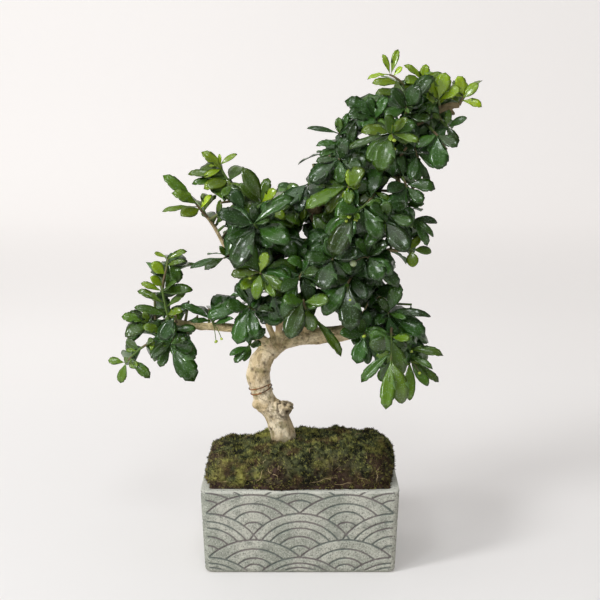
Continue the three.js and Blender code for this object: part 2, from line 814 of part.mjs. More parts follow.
// A closed leaf blade: a rim shared by an upper and a lower skin, thickest along the midrib,
// on a petiole with a three-cornered root
function leafSolid(leaf) {
  const rim = rimOf(leaf);
  const root = petioleWidth / leaf.width;
  const half = leafThickness / 2;
  const points = [
    leafPoint(leaf, 0, root, -petioleWidth / 3),
    leafPoint(leaf, 0, -root, -petioleWidth / 3),
    leafPoint(leaf, 0, 0, petioleWidth / 2),
    leafPoint(leaf, leafRib, 0, half),
    leafPoint(leaf, leafRib, 0, -half),
    ...rim.map(([share, side]) => leafPoint(leaf, share, side)),
  ];
  const [right, left, top, upper, lower, rimStart] = [0, 1, 2, 3, 4, 5];
  const rimEnd = points.length - 1;
  const faces = [
    right, top, left,
    right, rimStart, top,
    top, rimStart, upper,
    rimEnd, left, top,
    rimEnd, top, upper,
    right, left, lower,
    right, lower, rimStart,
    left, rimEnd, lower,
  ];
  for (let i = rimStart; i < rimEnd; i += 1) {
    faces.push(i, i + 1, upper);
    faces.push(i + 1, i, lower);
  }
  const geometry = new THREE.BufferGeometry();
  const flat = points.flatMap((point) => point.toArray());
  geometry.setAttribute('position', new THREE.Float32BufferAttribute(flat, 3));
  geometry.setIndex(faces);
  return solid(geometry);
}

// A block with rounded upright edges, tapered like the pot, from one level to another
function potBlock(inset, corner, bottom, top, footRound = 0) {
  const halfLength = potLength / 2 - inset - footRound;
  const halfDepth = potDepth / 2 - inset - footRound;
  const round = corner - footRound;
  const outline = new THREE.Shape();
  outline.absarc(halfLength - round, halfDepth - round, round, 0, Math.PI / 2);
  outline.absarc(round - halfLength, halfDepth - round, round, Math.PI / 2, Math.PI);
  outline.absarc(round - halfLength, round - halfDepth, round, Math.PI, Math.PI * 1.5);
  outline.absarc(halfLength - round, round - halfDepth, round, Math.PI * 1.5, Math.PI * 2);
  const block = new THREE.ExtrudeGeometry(outline, {
    depth: top - bottom - 2 * footRound,
    curveSegments: 2,
    bevelEnabled: footRound > 0,
    bevelThickness: footRound,
    bevelSize: footRound,
    bevelSegments: 2,
  });
  block.translate(0, 0, bottom + footRound);
  const position = block.attributes.position;
  for (let i = 0; i < position.count; i += 1) {
    const narrowing = (potDraft / (potLength / 2)) * (1 - position.getZ(i) / potHeight);
    position.setX(i, position.getX(i) * (1 - narrowing));
    position.setY(i, position.getY(i) * (1 - narrowing));
  }
  block.setIndex([...Array(position.count).keys()]);
  return solid(block);
}

function makePot() {
  const outer = potBlock(0, potCorner, 0, potHeight + 2 * potFootRound, potFootRound);
  const aboveRim = potBlock(-potWall, potCorner, potHeight, potHeight + potWall);
  const cavity = potBlock(potWall, potInnerCorner, potFloor, potHeight + 1);
  return outer.subtract(aboveRim).subtract(cavity);
}

function makeSoil() {
  const block = potBlock(potWall + gap, potInnerCorner, potFloor + gap, potHeight - soilBelowRim);
  return block.subtract(grownTrunk);
}

// The mound's section from the middle of its base to its top: share out, share up
const mossProfile = [[0, 0], [1, 0], [1, 0.3], [0.96, 0.6], [0.84, 0.83], [0.55, 0.96], [0, 1]];

// A bump of height 1 round a place
function hump(value, centre, spread) {
  return Math.exp(-(((value - centre) / spread) ** 2));
}

// How far the mound swells past its outline: waves round it, given as turns, phase and reach,
// and the overhang at the back right corner
function mossBulge(angle) {
  let bulge = mossBackRight.reach * hump(angle, mossBackRight.angle, mossBackRight.spread);
  for (const [turns, phase, reach] of mossWaves) {
    bulge += reach * Math.sin(angle * turns + phase);
  }
  return bulge;
}

function mossLump(x, y) {
  let lump = 0;
  for (const { height, alongX, alongY } of mossLumps) {
    lump += height * Math.sin(x * alongX + 1) * Math.cos(y * alongY);
  }
  return lump;
}

// Places a point of a unit dome on the mound
function mossPlace(ux, uy, up) {
  const out = Math.hypot(ux, uy);
  const angle = Math.atan2(uy, ux);
  const power = mossCornerPower;
  const square = (Math.abs(Math.cos(angle)) ** power + Math.abs(Math.sin(angle)) ** power) ** (-1 / power);
  const bulge = mossBulge(angle) * out ** 3;
  const x = Math.cos(angle) * (out * square * (potLength / 2 - mossInset) + bulge);
  const y = Math.sin(angle) * (out * square * (potDepth / 2 - mossInset) + bulge);
  const tall = mossHeight * (1 - mossLeftDip.depth * hump(x, mossLeftDip.x, mossLeftDip.spread));
  return [x, y, potHeight + gap + up * tall + mossLump(x, y) * Math.min(1, up * 1.6)];
}

// The moss: a plug inside the pot's mouth under a lumpy mound that leans over the rim
function makeMoss() {
  const profile = mossProfile.map(([out, up]) => new THREE.Vector2(out, up));
  const mound = new THREE.LatheGeometry(profile, mossSectors);
  const position = mound.attributes.position;
  for (let i = 0; i < position.count; i += 1) {
    const [x, y, z] = mossPlace(position.getX(i), -position.getZ(i), position.getY(i));
    position.setXYZ(i, x, y, z);
  }
  const soilTop = potHeight - soilBelowRim;
  const plug = potBlock(potWall + gap, potInnerCorner, soilTop + gap, potHeight + gap + 2);
  return solid(mound).add(plug).subtract(grownTrunk);
}

function radiiOf(line) {
  return line.map((point) => point[3]);
}

// The wire: two loose turns round the trunk, a hair clear of the bark
function makeWire() {
  const turns = [];
  const turnSteps = 22;
  const frames = transportedFrames(trunkCurve, wireFrames);
  for (let i = 0; i <= turnSteps; i += 1) {
    const share = THREE.MathUtils.lerp(wireFrom, wireTo, i / turnSteps);
    const frame = frames[Math.round(share * wireFrames)];
    const angle = 2 * Math.PI * wireTurns * (i / turnSteps);
    const radius = radiusAlong(radiiOf(trunkLine), share) + gap + wireRadius + wireSlack;
    const point = frame.centre.clone();
    point.addScaledVector(frame.across, radius * Math.cos(angle));
    point.addScaledVector(frame.over, radius * Math.sin(angle));
    turns.push(point);
  }
  return solid(tube(smoothCurve(turns), [wireRadius, wireRadius], wireSides, turnSteps));
}

// The wood: trunk, branches, knots and stubs as one body, plain or grown by the gap
function makeWood(grown) {
  const pieces = [solid(tube(trunkCurve, radiiOf(trunkLine), trunkSides, trunkSteps, grown))];
  for (const line of Object.values(branchLines)) {
    const sides = line[0][3] > twigRadius ? branchSides : twigSides;
    const steps = Math.ceil((line.length - 1) * branchStepsPerPoint);
    pieces.push(solid(tube(curveThrough(line), radiiOf(line), sides, steps, grown)));
  }
  return Manifold.union(pieces);
}

// The nearest point of the wood's centre lines to a point
function nearestWood(point) {
  let nearest = woodPoints[0];
  for (const candidate of woodPoints) {
    if (candidate.distanceTo(point) < nearest.distanceTo(point)) {
      nearest = candidate;
    }
  }
  return nearest;
}

const trunkCurve = curveThrough(trunkLine);
const grownTrunk = solid(tube(trunkCurve, radiiOf(trunkLine), trunkSides, trunkSteps, gap));
const grownWood = makeWood(gap);
const woodPoints = [];
for (const line of [trunkLine, ...Object.values(branchLines)]) {
  const curve = curveThrough(line);
  const steps = Math.ceil(curve.getLength() / roomStep);
  for (let i = 0; i <= steps; i += 1) {
    woodPoints.push(curve.getPoint(i / steps));
  }
  occupyTube(curve, radiiOf(line), 'wood', woodRoom);
}

// Every shoot with its stem's curve, from the wood out
const allShoots = [...shoots, ...farShoots].map((shoot, number) => {
  const stem = shoot.stem.map(([x, y, z]) => [x, y * canopyDepth, z]);
  const start = nearestWood(new THREE.Vector3(...stem[0]));
  const curve = curveThrough([start.toArray(), ...stem]);
  const radii = [stemRadius, stemTipRadius];
  return { ...shoot, number, curve, radii, placed: [] };
});
for (const shoot of allShoots) {
  occupyTube(shoot.curve, shoot.radii, shoot.name, stemRoom);
}

// The leaves that the front view gives come first, then those on the far side
for (const shoot of allShoots) {
  for (const row of shoot.leaves ?? []) {
    settleLeaf(frontLeaf, row, shoot);
  }
}
for (const shoot of allShoots) {
  const { number, around, behind } = shoot;
  const rows = around ? leavesAround(number, around) : leavesBehind(number, behind);
  for (const row of rows) {
    settleLeaf(roundLeaf, row, shoot);
  }
}

// A bud or berry on its stalk
function budSolid(shoot, [share, x, y, z, radius]) {
  const from = shoot.curve.getPoint(share);
  const to = from.clone().add(new THREE.Vector3(x, y, z));
  const stalk = solid(tube(new THREE.LineCurve3(from, to), [budStalk, budStalk], 3, 1));
  const ball = radius > berryRadius
    ? new THREE.IcosahedronGeometry(radius)
    : new THREE.OctahedronGeometry(radius * budSwell);
  ball.translate(to.x, to.y, to.z);
  ball.setIndex([...Array(ball.attributes.position.count).keys()]);
  return stalk.add(solid(ball));
}

// True where two solids come closer than the gap
function tooClose(one, other) {
  const a = one.boundingBox();
  const b = other.boundingBox();
  const apart = [0, 1, 2].some((axis) => a.min[axis] > b.max[axis] + gap || b.min[axis] > a.max[axis] + gap);
  return !apart && one.minGap(other, 1) < gap;
}

// Joins each shoot in one body, leaving out a leaf that would still touch another shoot
function makeShoots() {
  const members = [];
  for (const shoot of allShoots) {
    const steps = Math.ceil(shoot.curve.getLength() / stemStep) + 1;
    const stem = solid(tube(shoot.curve, shoot.radii, stemSides, steps));
    members.push({ shoot, body: stem.subtract(grownWood) });
  }
  const candidates = allShoots.flatMap((shoot) => {
    const buds = shoot.buds ?? [];
    const blades = shoot.placed.filter((leaf) => leaf.width >= narrowLeaf);
    return [
      ...buds.map((bud) => ({ shoot, body: budSolid(shoot, bud) })),
      ...blades.map((leaf) => ({ shoot, body: leafSolid(leaf) })),
    ];
  });
  for (const next of candidates) {
    if (!members.some((member) => member.shoot !== next.shoot && tooClose(member.body, next.body))) {
      members.push(next);
    }
  }
  return allShoots.map((shoot) => {
    const own = members.filter((member) => member.shoot === shoot).map((member) => member.body);
    return { shoot, body: largest(Manifold.union(own).subtract(grownWood)).simplify(flatWithin) };
  });
}

const finish = {
  pot: new THREE.MeshStandardMaterial({ color: 0xa5aa9b, roughness: 0.85, metalness: 0 }),
  soil: new THREE.MeshStandardMaterial({ color: 0x3a2c22, roughness: 1, metalness: 0 }),
  moss: new THREE.MeshStandardMaterial({ color: 0x4a5a22, roughness: 1, metalness: 0 }),
  bark: new THREE.MeshStandardMaterial({ color: 0xb09a7a, roughness: 0.9, metalness: 0 }),
  wire: new THREE.MeshStandardMaterial({ color: 0x6b4630, roughness: 0.6, metalness: 0.6 }),
  leaf: new THREE.MeshStandardMaterial({ color: 0x3f5f2a, roughness: 0.35, metalness: 0 }),
};

const plant = new THREE.Group();
plant.add(mesh('trunk', makeWood(0).simplify(flatWithin), finish.bark));
plant.add(mesh('training_wire', largest(makeWire()), finish.wire));
for (const { shoot, body } of makeShoots()) {
  plant.add(mesh(shoot.name, body, finish.leaf));
}

const bonsai = new THREE.Group();
bonsai.add(mesh('pot', makePot(), finish.pot));
bonsai.add(mesh('soil', makeSoil(), finish.soil));
bonsai.add(mesh('moss', makeMoss().simplify(flatWithin), finish.moss));
bonsai.add(plant);

export default bonsai;
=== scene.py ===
# Fukien tea bonsai in a carved pot: bark, leaves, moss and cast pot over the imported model.
# Lengths are written in millimetres, as in the part's own source, and mm turns them into metres.
import json
import math

import bpy
import numpy as np
from mathutils import Matrix, Vector, kdtree, noise

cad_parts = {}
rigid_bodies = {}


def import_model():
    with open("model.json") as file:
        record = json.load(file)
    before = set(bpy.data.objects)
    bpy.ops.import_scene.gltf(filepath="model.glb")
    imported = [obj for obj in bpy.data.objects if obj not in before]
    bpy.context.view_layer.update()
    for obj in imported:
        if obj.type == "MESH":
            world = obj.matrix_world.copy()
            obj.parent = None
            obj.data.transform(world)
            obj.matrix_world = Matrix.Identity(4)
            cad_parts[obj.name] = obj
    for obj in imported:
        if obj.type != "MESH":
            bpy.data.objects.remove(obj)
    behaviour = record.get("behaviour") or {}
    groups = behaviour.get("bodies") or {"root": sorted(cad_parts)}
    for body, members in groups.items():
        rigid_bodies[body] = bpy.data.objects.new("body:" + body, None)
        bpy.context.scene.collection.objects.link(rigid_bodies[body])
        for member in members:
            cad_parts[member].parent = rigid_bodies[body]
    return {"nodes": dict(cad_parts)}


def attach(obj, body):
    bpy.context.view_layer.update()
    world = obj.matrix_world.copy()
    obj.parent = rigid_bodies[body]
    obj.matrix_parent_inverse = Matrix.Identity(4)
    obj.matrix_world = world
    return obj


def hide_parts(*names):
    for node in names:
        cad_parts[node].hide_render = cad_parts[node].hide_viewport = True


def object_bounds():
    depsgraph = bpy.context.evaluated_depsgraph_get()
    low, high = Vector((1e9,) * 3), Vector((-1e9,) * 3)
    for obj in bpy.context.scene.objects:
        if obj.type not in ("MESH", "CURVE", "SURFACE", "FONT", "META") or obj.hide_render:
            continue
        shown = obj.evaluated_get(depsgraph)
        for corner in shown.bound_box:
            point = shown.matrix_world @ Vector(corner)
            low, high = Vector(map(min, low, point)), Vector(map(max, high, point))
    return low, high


mm = 0.001
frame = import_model()
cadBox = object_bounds()
nodes = frame["nodes"]
print("frame loaded:", len(nodes), "nodes")

# The photograph's view: eye in mm, pitch below level, lens and sensor in mm, picture size in pixels
view = {"eye": (0, -1040, 410), "pitch": 10.6, "lens": 77.4, "sensor": 36, "size": 600}


# Small helpers for node trees and meshes
def put(tree, kind, inputs=None, **settings):
    node = tree.nodes.new(kind)
    for key, value in settings.items():
        setattr(node, key, value)
    for key, value in (inputs or {}).items():
        if isinstance(value, bpy.types.NodeSocket):
            tree.links.new(value, node.inputs[key])
        else:
            node.inputs[key].default_value = value
    return node


def draw(n):  # a fixed draw between 0 and 1 for each whole number
    value = math.sin(n * 12.9898) * 43758.5453
    return value - math.floor(value)


def limit(value):  # kept between 0 and 1
    return min(1, max(0, value))


def hump(value, centre=0, spread=1):  # 1 at the centre, falling off smoothly over the spread
    return math.exp(-(((value - centre) / spread) ** 2))


def stepShares(length, step):  # even shares of a length from 0 to 1, a step apart or less
    steps = math.ceil(length / step)
    return [i / steps for i in range(steps + 1)]


def tint(red, green, blue):  # a screen colour, 0 to 255, as the shader's linear colour
    def linear(v):
        return v / 12.92 if v <= 0.04045 else ((v + 0.055) / 1.055) ** 2.4
    return (linear(red / 255), linear(green / 255), linear(blue / 255), 1)


def newMesh(name, points, faces, edges=()):
    mesh = bpy.data.meshes.new(name)
    mesh.from_pydata([tuple(p) for p in points], list(edges), faces)
    mesh.update()
    return mesh


def ringFaces(rows, columns):  # the skin over rings of points, with a cap at each end
    faces = []
    for row in range(rows - 1):
        for c in range(columns):
            a, b = row * columns + c, row * columns + (c + 1) % columns
            faces.append((a, b, b + columns, a + columns))
    faces.append(tuple(range(columns - 1, -1, -1)))
    faces.append(tuple(range((rows - 1) * columns, rows * columns)))
    return faces


def newObject(name, mesh):
    made = bpy.data.objects.new(name, mesh)
    bpy.context.scene.collection.objects.link(made)
    return made


def setAttribute(mesh, name, values, kind="FLOAT"):
    attribute = mesh.attributes.new(name, kind, "POINT")
    field = "vector" if kind == "FLOAT_VECTOR" else "value"
    attribute.data.foreach_set(field, np.asarray(values, np.int32 if kind == "INT" else np.float32).ravel())


def readPoints(mesh, field="co"):
    points = np.empty(len(mesh.vertices) * 3, np.float32)
    mesh.vertices.foreach_get(field, points)
    return points.reshape(-1, 3).astype(float)


def movePoints(mesh, points):
    mesh.vertices.foreach_set("co", np.asarray(points, np.float32).ravel())
    mesh.update()


def evaluated(made):  # the object's mesh with its modifiers applied
    graph = bpy.context.evaluated_depsgraph_get()
    final = made.evaluated_get(graph)
    mesh = bpy.data.meshes.new_from_object(final, preserve_all_data_layers=True, depsgraph=graph)
    made.modifiers.clear()
    made.data = mesh
    return made


def runTree(made, tree, values):  # a Geometry Nodes tree turned into a plain mesh
    modifier = made.modifiers.new(tree.name, "NODES")
    modifier.node_group = tree
    for item in tree.interface.items_tree:
        if item.item_type == "SOCKET" and item.in_out == "INPUT" and item.name in values:
            modifier[item.identifier] = values[item.name]
    return evaluated(made)


def smooth(mesh):
    mesh.polygons.foreach_set("use_smooth", np.ones(len(mesh.polygons), bool))


def keep(made, slot, *replaced):  # a finished piece on the one body, for its CAD nodes
    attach(made, "root")
    if replaced:
        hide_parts(*replaced)


# Shader groups that several finishes share
def shaderGroup(name, inputs, output):
    group = bpy.data.node_groups.new(name, "ShaderNodeTree")
    group.interface.new_socket(name="Position", in_out="INPUT", socket_type="NodeSocketVector")
    for title, value in inputs.items():
        socket = group.interface.new_socket(name=title, in_out="INPUT", socket_type="NodeSocketFloat")
        socket.default_value = value
    group.interface.new_socket(name=output, in_out="OUTPUT", socket_type="NodeSocketFloat")
    given = group.nodes.new("NodeGroupInput").outputs
    result = group.nodes.new("NodeGroupOutput").inputs[output]
    return group, given, result


def calc(tree, operation, a, b=0.5):
    return put(tree, "ShaderNodeMath", {0: a, 1: b}, operation=operation).outputs[0]


def ramp(tree, value, low, high):  # smoothly 0 at low and 1 at high
    sockets = {0: value, 1: low, 2: high}
    return put(tree, "ShaderNodeMapRange", sockets, interpolation_type="SMOOTHSTEP").outputs[0]


def blendColour(tree, mask, low, high):
    return put(tree, "ShaderNodeMix", {0: mask, 6: low, 7: high}, data_type="RGBA").outputs[2]


def layer(tree, colour, mask, share, over):  # a colour laid over another by a share of a mask
    return blendColour(tree, calc(tree, "MULTIPLY", mask, share), colour, over)


def attribute(tree, name):
    return put(tree, "ShaderNodeAttribute", attribute_name=name).outputs["Fac"]


def makePatches():  # soft patches: a noise field cut between two levels
    group, given, result = shaderGroup("patches", {"Scale": 50, "Detail": 3, "From": 0.4, "To": 0.6}, "Mask")
    sockets = {"Vector": given["Position"], "Scale": given["Scale"], "Detail": given["Detail"]}
    field = put(group, "ShaderNodeTexNoise", sockets)
    group.links.new(ramp(group, field.outputs[0], given["From"], given["To"]), result)
    return group


def makeSpecks():  # small round specks, some cells bare
    group, given, result = shaderGroup("specks", {"Scale": 800, "Size": 0.3}, "Mask")
    cells = put(group, "ShaderNodeTexVoronoi", {"Vector": given["Position"], "Scale": given["Scale"]})
    share = put(group, "ShaderNodeSeparateColor", {0: cells.outputs["Color"]}).outputs[0]
    size = calc(group, "MULTIPLY", given["Size"], share)
    group.links.new(ramp(group, cells.outputs["Distance"], size, calc(group, "MULTIPLY", size, 0.5)), result)
    return group


def makeRelief():  # coarse and fine unevenness for a bump
    group, given, result = shaderGroup("relief", {"Scale": 300, "Fine": 0.3}, "Height")
    place, scale = given["Position"], given["Scale"]
    coarse = put(group, "ShaderNodeTexNoise", {"Vector": place, "Scale": scale, "Detail": 3})
    fineScale = calc(group, "MULTIPLY", scale, 4)
    fine = put(group, "ShaderNodeTexNoise", {"Vector": place, "Scale": fineScale, "Detail": 2})
    part = calc(group, "MULTIPLY", fine.outputs[0], given["Fine"])
    group.links.new(calc(group, "ADD", coarse.outputs[0], part), result)
    return group


patches = makePatches()
specks = makeSpecks()
relief = makeRelief()


def useGroup(tree, group, position, **values):
    node = put(tree, "ShaderNodeGroup", node_tree=group)
    tree.links.new(position, node.inputs["Position"])
    for title, value in values.items():
        node.inputs[title].default_value = value
    return node.outputs[0]


def newFinish(name, **sockets):  # a Principled material and its Object coordinates
    material = bpy.data.materials.new(name)
    material.use_nodes = True
    tree = material.node_tree
    tree.nodes.clear()
    shader = put(tree, "ShaderNodeBsdfPrincipled", sockets)
    put(tree, "ShaderNodeOutputMaterial", {"Surface": shader.outputs[0]})
    place = put(tree, "ShaderNodeTexCoord").outputs["Object"]
    return material, tree, shader.inputs, place


def bump(tree, shader, height, strength, distance):
    node = put(tree, "ShaderNodeBump", {"Height": height, "Strength": strength, "Distance": distance})
    tree.links.new(node.outputs[0], shader["Normal"])


# Geometry Nodes helpers
def geometryTree(name, inputs):
    tree = bpy.data.node_groups.new(name, "GeometryNodeTree")
    tree.interface.new_socket(name="Geometry", in_out="INPUT", socket_type="NodeSocketGeometry")
    for title, kind in inputs.items():
        tree.interface.new_socket(name=title, in_out="INPUT", socket_type="NodeSocket" + kind)
    tree.interface.new_socket(name="Geometry", in_out="OUTPUT", socket_type="NodeSocketGeometry")
    given = tree.nodes.new("NodeGroupInput").outputs
    result = tree.nodes.new("NodeGroupOutput").inputs["Geometry"]
    return tree, given, result


def named(tree, name, kind="FLOAT"):
    return put(tree, "GeometryNodeInputNamedAttribute", {"Name": name}, data_type=kind).outputs[0]


def isPart(tree, number):
    sockets = {2: named(tree, "part", "INT"), 3: number}
    return put(tree, "FunctionNodeCompare", sockets, data_type="INT", operation="EQUAL").outputs[0]


def only(tree, geometry, number):  # the source's points of one part
    return put(tree, "GeometryNodeSeparateGeometry", {0: geometry, 1: isPart(tree, number)}).outputs[0]


def tubes(tree, lines, sides):  # closed round tubes along the lines, as thick as their points say
    curve = put(tree, "GeometryNodeMeshToCurve", {0: lines}).outputs[0]
    ring = put(tree, "GeometryNodeCurvePrimitiveCircle", {"Resolution": sides, "Radius": 1}).outputs[0]
    sockets = {"Curve": curve, "Profile Curve": ring, "Scale": named(tree, "thick"), "Fill Caps": True}
    return put(tree, "GeometryNodeCurveToMesh", sockets).outputs[0]


def instances(tree, points, shapes, index, rotation, scale):
    stock = put(tree, "GeometryNodeCollectionInfo", {0: shapes, 1: True, 2: True}).outputs[0]
    sockets = {"Points": points, "Instance": stock, "Pick Instance": True, "Instance Index": index}
    sockets.update({"Rotation": rotation, "Scale": scale})
    return put(tree, "GeometryNodeInstanceOnPoints", sockets).outputs[0]


def dressed(tree, geometry, material, selection=True):
    sockets = {0: geometry, 1: selection, 2: material}
    return put(tree, "GeometryNodeSetMaterial", sockets).outputs[0]


def realised(tree, geometry):
    whole = put(tree, "GeometryNodeRealizeInstances", {0: geometry}).outputs[0]
    return put(tree, "GeometryNodeSetShadeSmooth", {0: whole}).outputs[0]


# Curves, as the part's source draws them
class Line:
    def __init__(self, points):
        self.points = np.array(points, float)[:, :3]

    def at(self, share):
        points, last = self.points, len(self.points) - 1
        place = last * share
        i = min(int(math.floor(place)), last - 1)
        w = place - i
        before = points[i - 1] if i > 0 else 2 * points[0] - points[1]
        after = points[i + 2] if i + 2 <= last else 2 * points[last] - points[last - 1]
        a, b = points[i], points[i + 1]
        t0, t1 = (b - before) / 2, (after - a) / 2
        return a + t0 * w + (3 * (b - a) - 2 * t0 - t1) * w ** 2 + (2 * (a - b) + t0 + t1) * w ** 3

    def way(self, share):
        step = self.at(min(1, share + 1e-4)) - self.at(max(0, share - 1e-4))
        return step / np.linalg.norm(step)

    def length(self):
        points = np.array([self.at(i / 200) for i in range(201)])
        return np.linalg.norm(np.diff(points, axis=0), axis=1).sum()

    def frames(self, steps):  # centre, along, across, over without twisting
        across = np.cross((0, 1, 0), self.way(0))
        if abs(self.way(0)[1]) > 0.9:
            across = np.cross((1, 0, 0), self.way(0))
        rows = []
        for i in range(steps + 1):
            along = self.way(i / steps)
            across = across - along * across.dot(along)
            across = across / np.linalg.norm(across)
            rows.append((self.at(i / steps), along, across, np.cross(along, across)))
        return rows


def radiusAlong(radii, share):
    place = share * (len(radii) - 1)
    before = min(int(place), len(radii) - 2)
    return radii[before] + (radii[before + 1] - radii[before]) * (place - before)


trunkLine = [
    (-12, 2, 38, 8.5), (-12.5, 2, 82, 10), (-14, 2, 98, 10.3), (-18.8, 1, 115, 9.4), (-29.5, -2, 133, 8),
    (-34.5, -4, 153, 9), (-30, -4, 168, 8.3), (-17.5, -3, 180.5, 7.5), (-1, -2, 185, 6.9), (20, -1, 186, 6.6),
    (40, 0, 189, 6.5), (55, 2, 199, 6.3), (63, 4, 216, 5.9), (58, 4, 233, 5.7), (46, 3, 250, 5.6),
    (28, 1, 268, 5.4), (13, 0, 285, 5.3), (17, 0, 301, 5.1), (34, 0, 315, 4.8), (55, 0, 331, 4.2),
    (76, 0, 349, 3.6), (98, 0, 362.5, 3), (116, 0, 372, 2.6), (127, 0, 373.5, 2.2),
]
# Branches, knots and stubs, each from inside the wood that carries it: x, y, z, radius
branchLines = {
    "lowerLeft": [(-23, -4, 176, 4.2), (-37, -4, 187, 3.7), (-53, -4, 192.5, 3.4), (-70, -2, 193.5, 3.2),
        (-84, 0, 193.5, 2.8), (-99, 0, 196.5, 2.2), (-109, -1, 195, 1.8), (-120, -2, 194.5, 1.4)],
    "leftTwig": [(-20.5, -3, 182, 2.4), (-31, -5, 207, 2), (-40, -5, 224.5, 1.8), (-49, -4, 241, 1.7),
        (-60, -2, 258, 1.5), (-69, 0, 275, 1.3), (-75, -2, 284, 1.1)],
    "leftStem": [(-18, -3, 180, 3), (-17, -8, 207, 2.5), (-24, -10, 236, 2.1), (-30.5, -10, 264, 1.8),
        (-31, -8, 284, 1.3)],
    "leftTopTwig": [(-29.5, -10, 260, 1.7), (-41, -7, 283, 1.5), (-49, -4, 299, 1.3), (-56, -2, 311, 1.1)],
    "rightHanger": [(67, 0, 342, 2.6), (73.5, -8, 328, 1.9), (79, -10, 312, 1.6), (82, -10, 298, 1.2)],
    "lowerRight": [(60, 0, 205, 3), (70, -10, 207, 2.2), (78, -18, 192, 1.7), (83, -24, 183, 1.2)],
    "rightTwig": [(46, 0, 251, 2), (69, -5, 257, 1.4), (82, -8, 257.5, 1.1)],
    "knot": [(-25, -1, 128, 5.5), (-16, -4, 125, 6.3), (-11, -6, 125.5, 6.2), (-8.5, -7, 125, 4.8)],
    "shoulder": [(-31, -3, 130, 5.5), (-37, -4, 131, 4.2)],
    "cutStub": [(5, -2, 186, 4.6), (5, -4, 197, 4.1), (5, -5, 203, 3.8)],
    "tipStub": [(118, 0, 372, 1.8), (123, -1, 366, 1.2)],
}
woodLines = [trunkLine] + list(branchLines.values())
barkLook = {
    "voxel": 0.7, "sides": 22, "step": 2.0, "softenings": 4, "swell": 0.3,
    "lumps": 0.75, "lumpSize": 10, "grain": 0.42, "grainSize": 3.0, "crust": 0.3,
    "knotLumps": 2.1, "knotReach": 11, "scarRing": 0.4, "pitRing": 0.7, "pitDepth": 1.8,
    "trunkSteps": 300, "branchSteps": 60, "arcGap": 500, "stoutFrom": 5, "seamRadius": 7.2, "seamWidth": 0.9,
    "seamDepth": 1.1, "crustSize": 1.7, "gnarlSize": 2.4, "ringSharpness": 2.4, "scarSharpness": 1.7,
    "pitSharpness": 1.3, "oldFrom": 168, "oldOver": 20, "footTo": 96, "footOver": 7,
    "twigFrom": 200, "twigTo": 320,
    "pale": tint(240, 224, 194), "tan": tint(207, 185, 146), "brown": tint(138, 118, 84),
    "green": tint(132, 122, 72), "dark": tint(68, 56, 42), "red": tint(184, 138, 114),
    "old": tint(214, 194, 144), "twig": tint(104, 90, 60),
}
# Scars on the side seen first: x, z, radius
scars = [
    [-29.4, 165.4, 2.4], [-28.7, 157.7, 2.5], [-38.9, 159.7, 2.2], [-40.7, 147.4, 1.8],
    [-27.1, 149, 2.2], [-26.4, 123.6, 2], [-23.3, 118.6, 2.4], [-24.1, 107, 2.2], [-1, 188, 2],
    [1.5, 185.3, 2], [-12.4, 177.9, 2], [14.9, 180.8, 1.8], [-34.3, 151, 1.2], [-18.5, 129.4, 1.6],
    [28, 188, 1.8], [-33, 139.5, 1.5], [-16, 110, 1.5], [-22, 172, 1.6], [38, 192, 2],
]
knotPits = [[-12.2, 129.8, 2.2], [-10.4, 122.8, 2.8], [-7.6, 126.5, 1.5], [-13.5, 119.5, 1.4]]
knotCentre = [-11.7, -8, 124.8]
# Swellings of the trunk: place, reach and height
swellings = [
    ((-36, -2, 126), 5.5, 2.6), ((-44, -5, 152), 6, 0.9), ((-38.5, -4, 168), 4, 1.2),
    ((-24, -8, 133), 6, 0.8), ((-8, 0, 92), 8, 0.6), ((-26, -6, 158), 4, 0.7),
]


def makeTubesTree():
    tree, given, result = geometryTree("woodTubes", {"Sides": "Int", "Bark": "Material"})
    wood = realised(tree, tubes(tree, given["Geometry"], given["Sides"]))
    tree.links.new(dressed(tree, wood, given["Bark"]), result)
    return tree


def polylines(name, rows):  # rows of (points, radii) in mm as one mesh of edges with their thickness
    points, edges, thick = [], [], []
    for linePoints, radii in rows:
        start = len(points)
        points += [np.array(p) * mm for p in linePoints]
        thick += [r * mm for r in radii]
        edges += [(start + i, start + i + 1) for i in range(len(linePoints) - 1)]
    mesh = newMesh(name, points, [], edges)
    setAttribute(mesh, "thick", thick)
    return mesh


def woodRow(line):
    curve, radii = Line(line), [p[3] for p in line]
    shares = stepShares(curve.length(), barkLook["step"])
    return [curve.at(s) for s in shares], [radiusAlong(radii, s) for s in shares]


